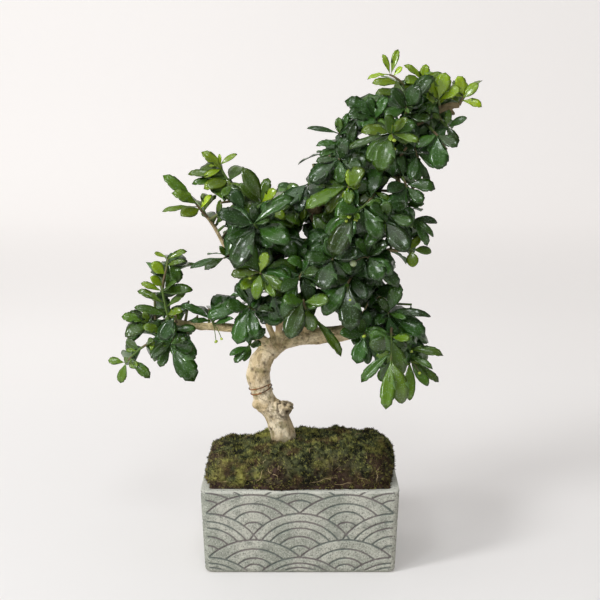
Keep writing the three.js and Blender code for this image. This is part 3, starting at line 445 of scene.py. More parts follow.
def barkFinish():
    look = barkLook
    material, tree, shader, place = newFinish("weatheredBark", **{"Specular IOR Level": 0.25})
    grain = put(tree, "ShaderNodeAttribute", attribute_name="grain").outputs["Vector"]
    weathered = useGroup(tree, patches, grain, Scale=90, Detail=5, From=0.4, To=0.62)
    colour = blendColour(tree, weathered, look["pale"], look["tan"])
    colour = blendColour(tree, attribute(tree, "age"), colour, look["old"])
    mould = useGroup(tree, patches, place, Scale=120, Detail=5, From=0.5, To=0.64)
    colour = layer(tree, colour, mould, 0.6, look["green"])
    streaks = useGroup(tree, patches, grain, Scale=330, Detail=5, From=0.54, To=0.64)
    colour = layer(tree, colour, streaks, 0.55, look["brown"])
    blush = useGroup(tree, patches, grain, Scale=48, Detail=3, From=0.58, To=0.7)
    colour = layer(tree, colour, blush, 0.4, look["red"])
    pores = useGroup(tree, specks, grain, Scale=520, Size=0.36)
    colour = layer(tree, colour, pores, 0.45, look["dark"])
    # Scars, plus painted shade in crevices and on faces turned downwards, in the dark colour.
    colour = blendColour(tree, attribute(tree, "scar"), colour, look["dark"])
    height = put(tree, "ShaderNodeSeparateXYZ", {0: place}).outputs["Z"]
    high = ramp(tree, height, look["twigFrom"] * mm, look["twigTo"] * mm)
    colour = layer(tree, colour, high, 0.8, look["twig"])
    tree.links.new(colour, shader["Base Color"])
    rough = useGroup(tree, relief, grain, Scale=300, Fine=0.6)
    tree.links.new(calc(tree, "ADD", calc(tree, "MULTIPLY", rough, 0.3), 0.6), shader["Roughness"])
    bump(tree, shader, rough, 0.9, 0.0009)
    return material


def makeWood():
    look = barkLook
    source = newObject("bark", polylines("bark", [woodRow(line) for line in woodLines]))
    runTree(source, makeTubesTree(), {"Sides": look["sides"], "Bark": None})
    skin = source.modifiers.new("skin", "REMESH")
    skin.mode, skin.voxel_size = "VOXEL", look["voxel"] * mm
    soften = source.modifiers.new("soften", "SMOOTH")
    soften.factor, soften.iterations = 0.5, look["softenings"]
    evaluated(source)
    mesh = source.data
    points, normals = readPoints(mesh) / mm, readPoints(mesh, "normal")
    centres, frameRows, arcs = [], [], []
    stepCounts = [look["trunkSteps"]] + [look["branchSteps"]] * len(branchLines)
    tree = kdtree.KDTree(sum(stepCounts) + len(stepCounts))
    for i, (line, steps) in enumerate(zip(woodLines, stepCounts)):
        curve = Line(line)
        unit = curve.length() / steps
        for k, row in enumerate(curve.frames(steps)):
            tree.insert(Vector(row[0]), len(centres))
            centres.append(row[0])
            frameRows.append(row[1:])
            arcs.append(k * unit + look["arcGap"] * i)
    tree.balance()
    grain, age, scar, push = [], [], [], []
    knot = np.array(knotCentre)
    for point, normal in zip(points, normals):
        _, index, _ = tree.find(Vector(point))
        along, across, over = frameRows[index]
        out, spot = point - centres[index], Vector(point)
        length = arcs[index] + out.dot(along)
        place = Vector((out.dot(across), out.dot(over), length * 0.5))
        grain.append(place * mm)
        stout = min(1, np.linalg.norm(out) / look["stoutFrom"])  # thin twigs stay smoother
        lump = look["lumps"] * noise.noise(spot / look["lumpSize"])
        fine = look["grain"] * noise.noise(place / look["grainSize"])
        fine += 0.5 * look["grain"] * noise.noise(place / look["grainSize"] * 2.7)
        fine -= look["crust"] * max(0, noise.noise(spot / look["crustSize"]) - 0.1)
        near = max(0, 1 - np.linalg.norm(point - knot) / look["knotReach"])
        rough = noise.noise(spot / look["gnarlSize"])
        gnarl = look["knotLumps"] * near * (rough + 0.35)
        mark, ring = 0.5 * min(1, near * 2) * max(0, 0.4 - 1.2 * rough), 0.0
        whorl = math.hypot(point[0] - knot[0], point[2] - knot[2])
        ragged = look["seamRadius"] + 1.1 * noise.noise(spot / 2.2)
        seen = point[1] < 0 and point[0] < knot[0] + 3 and near > 0
        seam = hump(whorl, ragged, look["seamWidth"]) if seen else 0
        if normal[1] < 0.3:
            for x, z, radius in scars:
                far = math.hypot(point[0] - x, point[2] - z) / radius
                mark = max(mark, hump(far * look["scarSharpness"]) * 0.8)
                ring += look["scarRing"] * hump((far - 1) * look["ringSharpness"])
            for x, z, radius in knotPits:
                far = math.hypot(point[0] - x, point[2] - z) / radius
                pit = hump(far * look["pitSharpness"])
                mark = max(mark, pit)
                ring += look["pitRing"] * hump((far - 1.1) * look["ringSharpness"]) - look["pitDepth"] * pit
        swell = sum(high * hump(np.linalg.norm(point - at) / reach) for at, reach, high in swellings)
        gnarl += 0.45 * min(1, near * 3) * math.cos(whorl * 2.4 + 2 * noise.noise(spot / 3))
        gnarl -= look["seamDepth"] * seam
        push.append(look["swell"] + (lump + fine) * stout + gnarl + ring + swell)
        # Painted shade: darker where the fine relief dips into crevices and on faces turned downwards.
        mark += 0.35 * limit((-fine - 0.12) * 3) + 0.22 * limit((-0.45 - normal[2]) * 1.6)
        # Also darker along the seam round the knot and towards the foot, where the trunk meets the moss.
        mark += 0.55 * seam + 0.6 * limit(1 - (point[2] - look["footTo"]) / look["footOver"])
        scar.append(min(1, mark))
        old = limit((point[2] - look["oldFrom"]) / look["oldOver"])
        age.append(old * (0.7 + 0.35 * noise.noise(spot / 12)))
    movePoints(mesh, (points + normals * np.array(push)[:, None]) * mm)
    setAttribute(mesh, "grain", grain, "FLOAT_VECTOR")
    for name, values in (("age", age), ("scar", scar)):
        setAttribute(mesh, name, values)
    mesh.materials.clear()
    mesh.materials.append(barkFinish())
    smooth(mesh)
    keep(source, "bark", "trunk")
    print("wood:", len(mesh.polygons), "faces")


makeWood()

wireLook = {
    "from": 0.184, "to": 0.2, "turns": 1.9, "radius": 0.45, "stand": 0.8, "steps": 90, "sides": 8,
    "frames": 136, "hookSteps": 16, "hookRadius": 0.36, "rust": tint(150, 96, 50), "steel": tint(58, 54, 46),
}
hookLine = [
    (-27, -8, 142.5), (-26, -9.6, 145), (-24.8, -10.2, 146.8), (-23.4, -9.8, 146.6), (-23.2, -9.4, 145.2),
]


def wireFinish():
    look = wireLook
    material, tree, shader, place = newFinish("rustedWire", Metallic=0.35, Roughness=0.55)
    rust = useGroup(tree, patches, place, Scale=120, Detail=2, From=0.42, To=0.58)
    tree.links.new(blendColour(tree, rust, look["steel"], look["rust"]), shader["Base Color"])
    bump(tree, shader, useGroup(tree, relief, place, Scale=1200, Fine=0.5), 0.5, 0.0003)
    return material


def makeWire():
    look, turns = wireLook, []
    curve, radii = Line(trunkLine), [p[3] for p in trunkLine]
    rows = curve.frames(look["frames"])
    for part in stepShares(look["steps"], 1):
        share = look["from"] + (look["to"] - look["from"]) * part
        _, _, across, over = rows[round(share * look["frames"])]
        angle = 2 * math.pi * look["turns"] * part
        radius = radiusAlong(radii, share) + look["stand"]
        turns.append(curve.at(share) + across * radius * math.cos(angle) + over * radius * math.sin(angle))
    hook = Line(hookLine)
    hooked = [hook.at(s) for s in stepShares(look["hookSteps"], 1)]
    wires = [(turns, [look["radius"]] * len(turns)), (hooked, [look["hookRadius"]] * len(hooked))]
    values = {"Sides": look["sides"], "Bark": wireFinish()}
    made = runTree(newObject("wire", polylines("wire", wires)), bpy.data.node_groups["woodTubes"], values)
    keep(made, "wire", "training_wire")
    print("wire:", len(made.data.polygons), "faces")


makeWire()

potLook = {
    "length": 160, "depth": 110, "height": 70, "draft": 3, "corner": 6, "innerCorner": 3,
    "wall": 7, "floor": 8, "footRound": 3.6, "rimRound": 0.9, "grid": 0.66, "cornerSteps": 14,
    "grooveDepth": 0.85, "grooveHalf": 0.85, "wavePitch": 76, "fadeFrom": 22, "fadeTo": 43,
    "bandFrom": 2.6, "bandTo": 1.4, "inkTo": 1.05, "inkFull": 0.35, "mouth": 8,
    "stone": tint(159, 161, 148), "pale": tint(188, 187, 174), "shade": tint(124, 127, 117),
    "line": tint(72, 82, 80), "plum": tint(92, 80, 84), "speck": tint(88, 90, 84),
    "fleck": tint(214, 213, 202),
}
# Rows of waves from the rim down: shift in pitches, then each arc's top below the rim and its radius
waveRows = [
    (0, [(-5.3, 49), (1.7, 38), (7.8, 17)]),
    (0.5, [(3.1, 54), (10.6, 35), (17.4, 19), (26.3, 11)]),
    (0, [(19, 49), (25.8, 39), (31.4, 32), (38.6, 23), (46.5, 12)]),
    (0.5, [(41.4, 56), (49.3, 36), (57.1, 20), (62.5, 12)]),
    (0, [(56.6, 49), (61.6, 40), (65.3, 33)]),
]


def grooveDistance(across, down):  # distance in mm to the nearest carved arc of the wave pattern
    pitch = potLook["wavePitch"]
    nearest = np.full(across.shape, 99.0)
    for shift, arcs in waveRows:  # a lower row lies over the rows above it
        offset = (across / pitch - shift + 0.5) % 1 * pitch - pitch / 2
        for way in (0, -pitch, pitch):
            side = offset + way
            top, radius = arcs[0]
            far = np.hypot(side, down - top - radius) - radius
            inside = far < 0
            nearest = np.where(inside, -far, np.minimum(nearest, far))
            for top, radius in arcs[1:]:
                ring = np.abs(np.hypot(side, down - top - radius) - radius)
                ring = np.where(down < top + radius, ring, 99)
                nearest = np.where(inside, np.minimum(nearest, ring), nearest)
    return nearest


def potProfile():  # (inset, height) rows from the foot, up the outside, over the rim and down inside
    look = potLook
    foot, rim, high, wall = look["footRound"], look["rimRound"], look["height"], look["wall"]
    rows = [(foot * (1 - math.sin(a)), foot * (1 - math.cos(a))) for a in np.linspace(0, math.pi / 2, 6)]
    count = round((high - foot - rim) / look["grid"])
    rows += [(0, foot + (high - foot - rim) * i / count) for i in range(1, count + 1)]
    for a in np.linspace(0.4, math.pi / 2, 4):
        rows.append((rim * (1 - math.cos(a)), high - rim * (1 - math.sin(a))))
    for a in np.linspace(0.1, math.pi / 2, 4):
        rows.append((wall - rim * (1 - math.sin(a)), high - rim * (1 - math.cos(a))))
    return rows + [(wall, high - look["mouth"]), (wall, high / 2), (wall, look["floor"])], 6 + count


def potLoop():  # round the outline: side, place along its flat run, and turn past the flat's end
    look, loop = potLook, []
    quarter, steps = math.pi / 2, look["cornerSteps"]
    for turn, size in enumerate((look["length"], look["depth"], look["length"], look["depth"])):
        flat = size - 2 * look["corner"]
        count = round(flat / look["grid"])
        loop += [(turn, (i / count - 0.5) * flat, 0) for i in range(count + 1)]
        loop += [(turn, flat / 2, k / steps * quarter) for k in range(1, steps)]
    return loop


def makePotMesh():
    look = potLook
    rows, outerEnd = potProfile()
    loop = potLoop()
    halfSizes = (look["length"] / 2, look["depth"] / 2)
    points, ways, carved = [], [], []
    for number, (inset, z) in enumerate(rows):
        corner = look["corner"] + (look["innerCorner"] - look["corner"]) * inset / look["wall"]
        narrowing = 1 - look["draft"] / halfSizes[0] * (1 - z / look["height"])
        for turn, place, bend in loop:
            angle = turn * math.pi / 2 - math.pi / 2
            outward = np.array((math.cos(angle), math.sin(angle)))
            along = np.array((-outward[1], outward[0]))
            face, run = (halfSizes[1], halfSizes[0]) if turn % 2 == 0 else (halfSizes[0], halfSizes[1])
            stretch = (run - inset - corner) / (run - look["corner"])
            way = outward * math.cos(bend) + along * math.sin(bend)
            spot = outward * (face - inset - corner) + along * place * stretch + way * corner
            points.append((*(spot * narrowing), z))
            ways.append(way * narrowing)
            turned = math.degrees(bend)
            if turned > 45:  # the second half of a corner carries on the next side's pattern
                turned = turned - 90
                place = look["corner"] - (face if turn % 2 else halfSizes[1])
            fade = limit((abs(turned) - look["fadeFrom"]) / (look["fadeTo"] - look["fadeFrom"]))
            fade = max(fade, 1 - min(1, z / 2)) if number < outerEnd else 1
            carved.append((place + math.radians(turned) * look["corner"], look["height"] - z, fade))
    place, down, fade = np.array(carved).T
    distance = np.where(fade < 1, grooveDistance(place, down), 9)
    depth = look["grooveDepth"] * np.clip(1 - (distance / look["grooveHalf"]) ** 2, 0, 1) * (1 - fade)
    points = np.array(points)
    points[:, :2] -= np.array(ways) * depth[:, None]
    mesh = newMesh("castPot", points * mm, ringFaces(len(rows), len(loop)))
    setAttribute(mesh, "groove", distance + 3 * fade)
    return mesh


def potFinish():
    look = potLook
    material, tree, shader, place = newFinish("castStone", Roughness=0.88, **{"Specular IOR Level": 0.25})
    clouds = useGroup(tree, patches, place, Scale=34, Detail=5, From=0.4, To=0.6)
    colour = blendColour(tree, clouds, look["stone"], look["pale"])
    shade = useGroup(tree, patches, place, Scale=110, Detail=5, From=0.5, To=0.66)
    colour = layer(tree, colour, shade, 0.5, look["shade"])
    grit = useGroup(tree, patches, place, Scale=750, Detail=3, From=0.46, To=0.6)
    colour = layer(tree, colour, grit, 0.34, look["speck"])
    height = put(tree, "ShaderNodeSeparateXYZ", {0: place}).outputs["Z"]
    low, high = (look["height"] - look[name] for name in ("bandFrom", "bandTo"))
    band = ramp(tree, height, low * mm, high * mm)
    colour = layer(tree, colour, band, 0.6, look["fleck"])
    speck = useGroup(tree, specks, place, Scale=640, Size=0.6)
    colour = layer(tree, colour, speck, 0.55, look["speck"])
    fleck = useGroup(tree, specks, place, Scale=880, Size=0.6)
    colour = layer(tree, colour, fleck, 0.5, look["fleck"])
    ink = useGroup(tree, patches, place, Scale=60, Detail=2, From=0.45, To=0.55)
    ink = blendColour(tree, ink, look["line"], look["plum"])
    carved = ramp(tree, attribute(tree, "groove"), look["inkTo"], look["inkFull"])
    colour = layer(tree, colour, carved, 0.72, ink)
    tree.links.new(colour, shader["Base Color"])
    bump(tree, shader, useGroup(tree, relief, place, Scale=700, Fine=0.7), 0.6, 0.0005)
    return material


pot = newObject("carved_pot", makePotMesh())
pot.data.materials.append(potFinish())
smooth(pot.data)
keep(pot, "pot", "pot")
print("pot:", len(pot.data.polygons), "faces")


soilLook = {"dark": tint(46, 34, 26), "light": tint(92, 72, 54)}


def soilFinish():
    material, tree, shader, place = newFinish("soilCrumbs", Roughness=0.95)
    crumbs = useGroup(tree, patches, place, Scale=420, Detail=4)
    tree.links.new(blendColour(tree, crumbs, soilLook["dark"], soilLook["light"]), shader["Base Color"])
    bump(tree, shader, useGroup(tree, relief, place, Scale=500, Fine=0.8), 0.9, 0.001)
    return material


nodes["soil"].data.materials.clear()
nodes["soil"].data.materials.append(soilFinish())

mossLook = {
    "height": 28, "inset": 4, "cornerPower": 5, "gap": 0.35, "columns": 440, "rows": 84,
    "plugInset": 7.7, "plugPower": 40, "plugFrom": 62.5, "plugTo": 70.6,
    "clump": 1.5, "clumpSize": 6.5, "crumb": 0.75, "crumbSize": 2.1, "patchSize": 9,
    "firstShare": 0.16, "shareSpan": 0.83, "litterRise": 6,
    "tufts": {"Per square mm": 0.52, "Least size": 0.6, "Most size": 1.45, "Tilt": 0.3, "Seed": 4},
    "strands": {"Per square mm": 0.0026, "Least size": 0.5, "Most size": 1.1, "Tilt": 0.0, "Seed": 9},
    "blades": 3, "blade": 0.55, "thread": 0.17,
    "deep": tint(34, 38, 28), "olive": tint(118, 124, 82), "bright": tint(206, 204, 108),
    "brown": tint(118, 92, 66), "litter": tint(88, 66, 58), "straw": tint(204, 180, 130),
    "root": tint(90, 60, 44),
}
mossProfile = [(0, 0), (1, 0), (1, 0.3), (0.96, 0.6), (0.84, 0.83), (0.55, 0.96), (0, 1)]
mossWaves = [(7, 1, 1.3), (13, 0, 0.9)]  # turns round the edge, phase and reach
mossBackRight = {"angle": 0.6, "spread": 0.35, "reach": 7}
mossLeftDip = {"x": -48, "spread": 22, "depth": 0.2}
mossLumps = [(1.5, 0.21, 0.17), (1.1, 0.43, 0.31)]  # height, and turns along X and Y
# Yellow-green patches of the moss: x, y and reach
freshMoss = [
    (-64, -46, 19), (54, -2, 10), (-46, -48, 11), (20, -44, 6), (5, 20, 12), (-30, 30, 12), (62, -16, 8),
    (30, -6, 6), (-10, -20, 5),
]
# Bare, rooty corners: x, y and reach
rootyMoss = [
    (-72, -50, 12), (-70, -20, 12), (72, -47, 17), (76, -30, 12), (-68, 44, 16), (30, -54, 16), (74, 46, 12),
    (-20, -54, 12), (-72, 10, 9),
]


def roundedSquare(angle, power):  # how far a rounded square of half width 1 reaches at an angle
    return (abs(math.cos(angle)) ** power + abs(math.sin(angle)) ** power) ** (-1 / power)


def mossPlace(out, angle, up):
    square, top = roundedSquare(angle, mossLook["cornerPower"]), potLook["height"] + mossLook["gap"]
    bulge = mossBackRight["reach"] * hump(angle, mossBackRight["angle"], mossBackRight["spread"])
    waves = sum(reach * math.sin(angle * turns + phase) for turns, phase, reach in mossWaves)
    bulge = (bulge + waves) * out ** 3
    x = math.cos(angle) * (out * square * (potLook["length"] / 2 - mossLook["inset"]) + bulge)
    y = math.sin(angle) * (out * square * (potLook["depth"] / 2 - mossLook["inset"]) + bulge)
    tall = mossLook["height"] * (1 - mossLeftDip["depth"] * hump(x, mossLeftDip["x"], mossLeftDip["spread"]))
    lump = sum(high * math.sin(x * alongX + 1) * math.cos(y * alongY) for high, alongX, alongY in mossLumps)
    return x, y, top + up * tall + lump * min(1, up * 1.6)


def plugPlace(angle, high):  # round the moss that fills the pot's mouth
    square = roundedSquare(angle, mossLook["plugPower"])
    halves = (potLook["length"] / 2 - mossLook["plugInset"], potLook["depth"] / 2 - mossLook["plugInset"])
    return math.cos(angle) * square * halves[0], math.sin(angle) * square * halves[1], high


def mossSection(share):  # the mound's section at a share of its way from the foot's middle to the top
    place = share * (len(mossProfile) - 1)
    i = min(int(place), len(mossProfile) - 2)
    return [a + (b - a) * (place - i) for a, b in zip(mossProfile[i], mossProfile[i + 1])]


def nearSpots(x, y, spots):
    return max(math.exp(-(((x - sx) ** 2 + (y - sy) ** 2) / reach ** 2)) for sx, sy, reach in spots)


def mossMesh():
    look, points = mossLook, []
    columns, rows = look["columns"], look["rows"]
    angles = [(2 * math.pi * c / columns + math.pi) % (2 * math.pi) - math.pi for c in range(columns)]
    for high in (look["plugFrom"], look["plugTo"]):
        points += [plugPlace(angle, high) for angle in angles]
    for row in range(rows):
        out, up = mossSection(look["firstShare"] + look["shareSpan"] * row / (rows - 1))
        points += [mossPlace(out, angle, up) for angle in angles]
    mesh = newMesh("mossMound", np.array(points) * mm, ringFaces(rows + 2, columns))
    normals, place = readPoints(mesh, "normal"), readPoints(mesh) / mm
    fresh, litter, push = [], [], []
    for x, y, z in place:
        spot = Vector((x, y, z))
        clump = noise.noise(spot / look["clumpSize"]) + 0.5 * noise.noise(spot / look["clumpSize"] * 2.1)
        crumb = noise.noise(spot / look["crumbSize"])
        inside = limit((z - potLook["height"] - 0.5) / 3)
        push.append((look["clump"] * clump + look["crumb"] * crumb - 0.7) * inside)
        patch = 0.5 + 0.5 * noise.noise(spot / look["patchSize"] + Vector((7, 3, 1)))
        fresh.append(limit(nearSpots(x, y, freshMoss) * (0.4 + patch) + 2.2 * (patch - 0.62)))
        low = 0.9 * max(0, 1 - (z - potLook["height"]) / look["litterRise"])
        litter.append(min(1, nearSpots(x, y, rootyMoss) * (0.4 + patch) + low * (0.5 + patch)))
    movePoints(mesh, (place + normals * np.array(push)[:, None]) * mm)
    for name, values in (("fresh", fresh), ("litter", litter), ("tone", [0.3] * len(place))):
        setAttribute(mesh, name, values)
    return mesh


def mossFinish():
    look = mossLook
    material, tree, shader, place = newFinish("moss", Roughness=0.95, **{"Specular IOR Level": 0.15})
    clumps = useGroup(tree, patches, place, Scale=95, Detail=5, From=0.38, To=0.6)
    colour = blendColour(tree, clumps, look["deep"], look["olive"])
    earth = useGroup(tree, patches, place, Scale=60, Detail=4, From=0.5, To=0.62)
    colour = layer(tree, colour, earth, 0.75, look["brown"])
    colour = layer(tree, colour, attribute(tree, "fresh"), 0.85, look["bright"])
    colour = blendColour(tree, attribute(tree, "litter"), colour, look["litter"])
    tone = attribute(tree, "tone")
    colour = layer(tree, colour, ramp(tree, tone, 0.5, 0.0), 0.8, look["deep"])
    colour = layer(tree, colour, ramp(tree, tone, 0.6, 1.0), 0.5, look["bright"])
    grit = useGroup(tree, specks, place, Scale=520, Size=0.36)
    colour = layer(tree, colour, grit, 0.15, look["straw"])
    tree.links.new(colour, shader["Base Color"])
    bump(tree, shader, useGroup(tree, relief, place, Scale=900, Fine=0.8), 0.8, 0.0008)
    return material


def strandFinish():
    look = mossLook
    material, tree, shader, place = newFinish("dryStraw", Roughness=0.8)
    colour = blendColour(tree, attribute(tree, "tone"), look["root"], look["straw"])
    tree.links.new(colour, shader["Base Color"])
    bump(tree, shader, useGroup(tree, relief, place, Scale=1500, Fine=0.5), 0.4, 0.0002)
    return material


def tuftShape(name, blades, tall, spread, thick):  # three-sided spikes leaning out from one foot, in mm
    points, faces = [], []
    for k in range(blades):
        angle = 2 * math.pi * (k + draw(k + tall)) / blades
        lean = spread * (0.3 + 0.7 * draw(k * 3 + tall))
        high = tall * (0.6 + 0.4 * draw(k * 7 + 2))
        foot = np.array((math.cos(angle), math.sin(angle), 0)) * lean * 0.35
        start = len(points)
        for corner in range(3):
            turn = angle + corner * 2 * math.pi / 3
            side = np.array((math.cos(turn), math.sin(turn), 0)) * thick
            points.append(foot + side + np.array((0, 0, -0.6)))
        points.append(foot + np.array((math.cos(angle) * lean, math.sin(angle) * lean, high)))
        a, b, c, tip = range(start, start + 4)
        faces += [(a, b, tip), (b, c, tip), (c, a, tip), (c, b, a)]
    return newMesh(name, np.array(points) * mm, faces)


def strandShape(name, span, rise, sway):  # a thin arched straw that lies along X
    row = [(span * (s - 0.5), sway * math.sin(s * 5), rise * 4 * s * (1 - s)) for s in np.linspace(0, 1, 8)]
    return polylines(name, [(row, [mossLook["thread"]] * 8)])


# Straws seen on the moss: middle x and z, length, slope in degrees, sway and radius
seenStraws = [
    (-67, 90, 8, 80, 1.6, 0.22), (-21.5, 83, 10, -58, 2, 0.28), (17, 77.5, 26, 4, 1.5, 0.18),
    (70, 90, 12, 25, 1, 0.18), (62, 80, 12, 70, 1.5, 0.2), (-62, 75, 12, -12, 1, 0.18),
    (50, 79, 9, -30, 1.2, 0.2), (36, 74.5, 16, -3, 1, 0.2),
]
tuftPlan = [(1.9, 1.3), (1.4, 1.6), (2.5, 1.0), (1.7, 1.0)]  # height and spread in mm
strandPlan = [(7, 1.4, 0.8), (10, 1.8, -1.2), (5, 1, 0.4), (12, 1.5, 1.6)]  # span, rise and sway in mm


def stock(name, meshes):  # a collection of shapes that a tree picks from
    group = bpy.data.collections.new(name)
    bpy.context.scene.collection.children.link(group)
    for i, mesh in enumerate(meshes):
        group.objects.link(bpy.data.objects.new(f"{name}{i}", mesh))
    return group


def clearStock(group):
    for shape in list(group.objects):
        bpy.data.objects.remove(shape)
    bpy.data.collections.remove(group)


def randomValue(tree, low, high, seed=0):
    sockets = {2: low, 3: high, "Seed": seed}
    return put(tree, "FunctionNodeRandomValue", sockets, data_type="FLOAT").outputs[1]


def turned(tree, rotation, axis, angle):  # a rotation turned further about one of its own axes
    turn = put(tree, "FunctionNodeAxisAngleToRotation", {"Axis": axis, "Angle": angle}).outputs[0]
    return put(tree, "FunctionNodeRotateRotation", {0: rotation, 1: turn}, rotation_space="LOCAL").outputs[0]


def makeCoverTree():  # shapes scattered over a surface, upright on it or lying on it
    inputs = {"Shapes": "Collection", "Per square mm": "Float", "Least size": "Float", "Most size": "Float"}
    inputs.update({"Tilt": "Float", "Seed": "Int", "Finish": "Material"})
    tree, given, result = geometryTree("cover", inputs)
    density = calc(tree, "MULTIPLY", given["Per square mm"], 1e6)
    top = put(tree, "FunctionNodeCompare", {0: named(tree, "bare"), 1: 0.5}, operation="LESS_THAN").outputs[0]
    sockets = {"Mesh": given["Geometry"], "Selection": top, "Density": density, "Seed": given["Seed"]}
    spread = put(tree, "GeometryNodeDistributePointsOnFaces", sockets)
    spin = randomValue(tree, 0.0, 2 * math.pi, given["Seed"])
    spun = turned(tree, spread.outputs[2], (0, 0, 1), spin)
    rotation = turned(tree, spun, (1, 0, 0), given["Tilt"])
    size = randomValue(tree, given["Least size"], given["Most size"])
    sockets = {4: 0, 5: len(tuftPlan) - 1, "Seed": given["Seed"]}
    pick = put(tree, "FunctionNodeRandomValue", sockets, data_type="INT").outputs[2]
    sockets = {"Geometry": spread.outputs[0], "Name": "tone", "Value": randomValue(tree, 0.0, 1.0, 5)}
    toned = put(tree, "GeometryNodeStoreNamedAttribute", sockets, data_type="FLOAT", domain="POINT")
    placed = instances(tree, toned.outputs[0], given["Shapes"], pick, rotation, size)
    tree.links.new(dressed(tree, realised(tree, placed), given["Finish"]), result)
    return tree


def cover(name, mound, tree, shapes, **values):
    group = stock(name, shapes)
    made = runTree(newObject(name, mound.copy()), tree, {"Shapes": group, **values})
    clearStock(group)
    return made


def seenStrawMesh(mound):  # straws laid over the front of the mound
    place, rows = readPoints(mound) / mm, []
    place = place[place[:, 1] < -20]
    for x, z, span, slope, sway, radius in seenStraws:
        line = []
        for s in np.linspace(-0.5, 0.5, 9):
            over, turn = sway * math.sin(s * 5), math.radians(slope)
            spotX = x + span * s * math.cos(turn) - over * math.sin(turn)
            spotZ = z + span * s * math.sin(turn) + over * math.cos(turn)
            near = place[np.argmin(np.hypot(place[:, 0] - spotX, place[:, 2] - spotZ))]
            line.append(near - np.array((0, 0.5 + 0.9 * (0.25 - s * s), -0.2)))
        rows.append((line, [radius] * 9))
    return polylines("seenStraws", rows)


def makeMoss():
    look = mossLook
    mound = mossMesh()
    steep = [1.0 if p[2] < potLook["height"] + 0.3 else 0.0 for p in readPoints(mound) / mm]
    setAttribute(mound, "bare", steep)
    base = newObject("moss_cushion", mound)
    finish = mossFinish()
    mound.materials.append(finish)
    smooth(mound)
    tree = makeCoverTree()
    shapes = [tuftShape(f"tuft{i}", look["blades"], *row, look["blade"]) for i, row in enumerate(tuftPlan)]
    tufts = cover("moss_tufts", mound, tree, shapes, Finish=finish, **look["tufts"])
    strandTree = bpy.data.node_groups["woodTubes"]
    bent = [strandShape(f"strand{i}", *row) for i, row in enumerate(strandPlan)]
    bent = [runTree(newObject(m.name, m), strandTree, {"Sides": 3, "Bark": None}) for m in bent]
    straw = strandFinish()
    lying = [b.data.copy() for b in bent]
    strands = cover("moss_straws", mound, tree, lying, Finish=straw, **look["strands"])
    for b in bent:
        bpy.data.objects.remove(b)
    seen = newObject("moss_straws_seen", seenStrawMesh(mound))
    runTree(seen, strandTree, {"Sides": 5, "Bark": straw})
    setAttribute(seen.data, "tone", [0.8] * len(seen.data.vertices))
    keep(base, "moss", "moss")
    keep(tufts, "moss")
    keep(strands, "moss")
    keep(seen, "moss")
    grown = len(tufts.data.polygons) + len(strands.data.polygons)
    print("moss:", len(mound.polygons), "faces,", grown, "in its tufts and straws")


makeMoss()

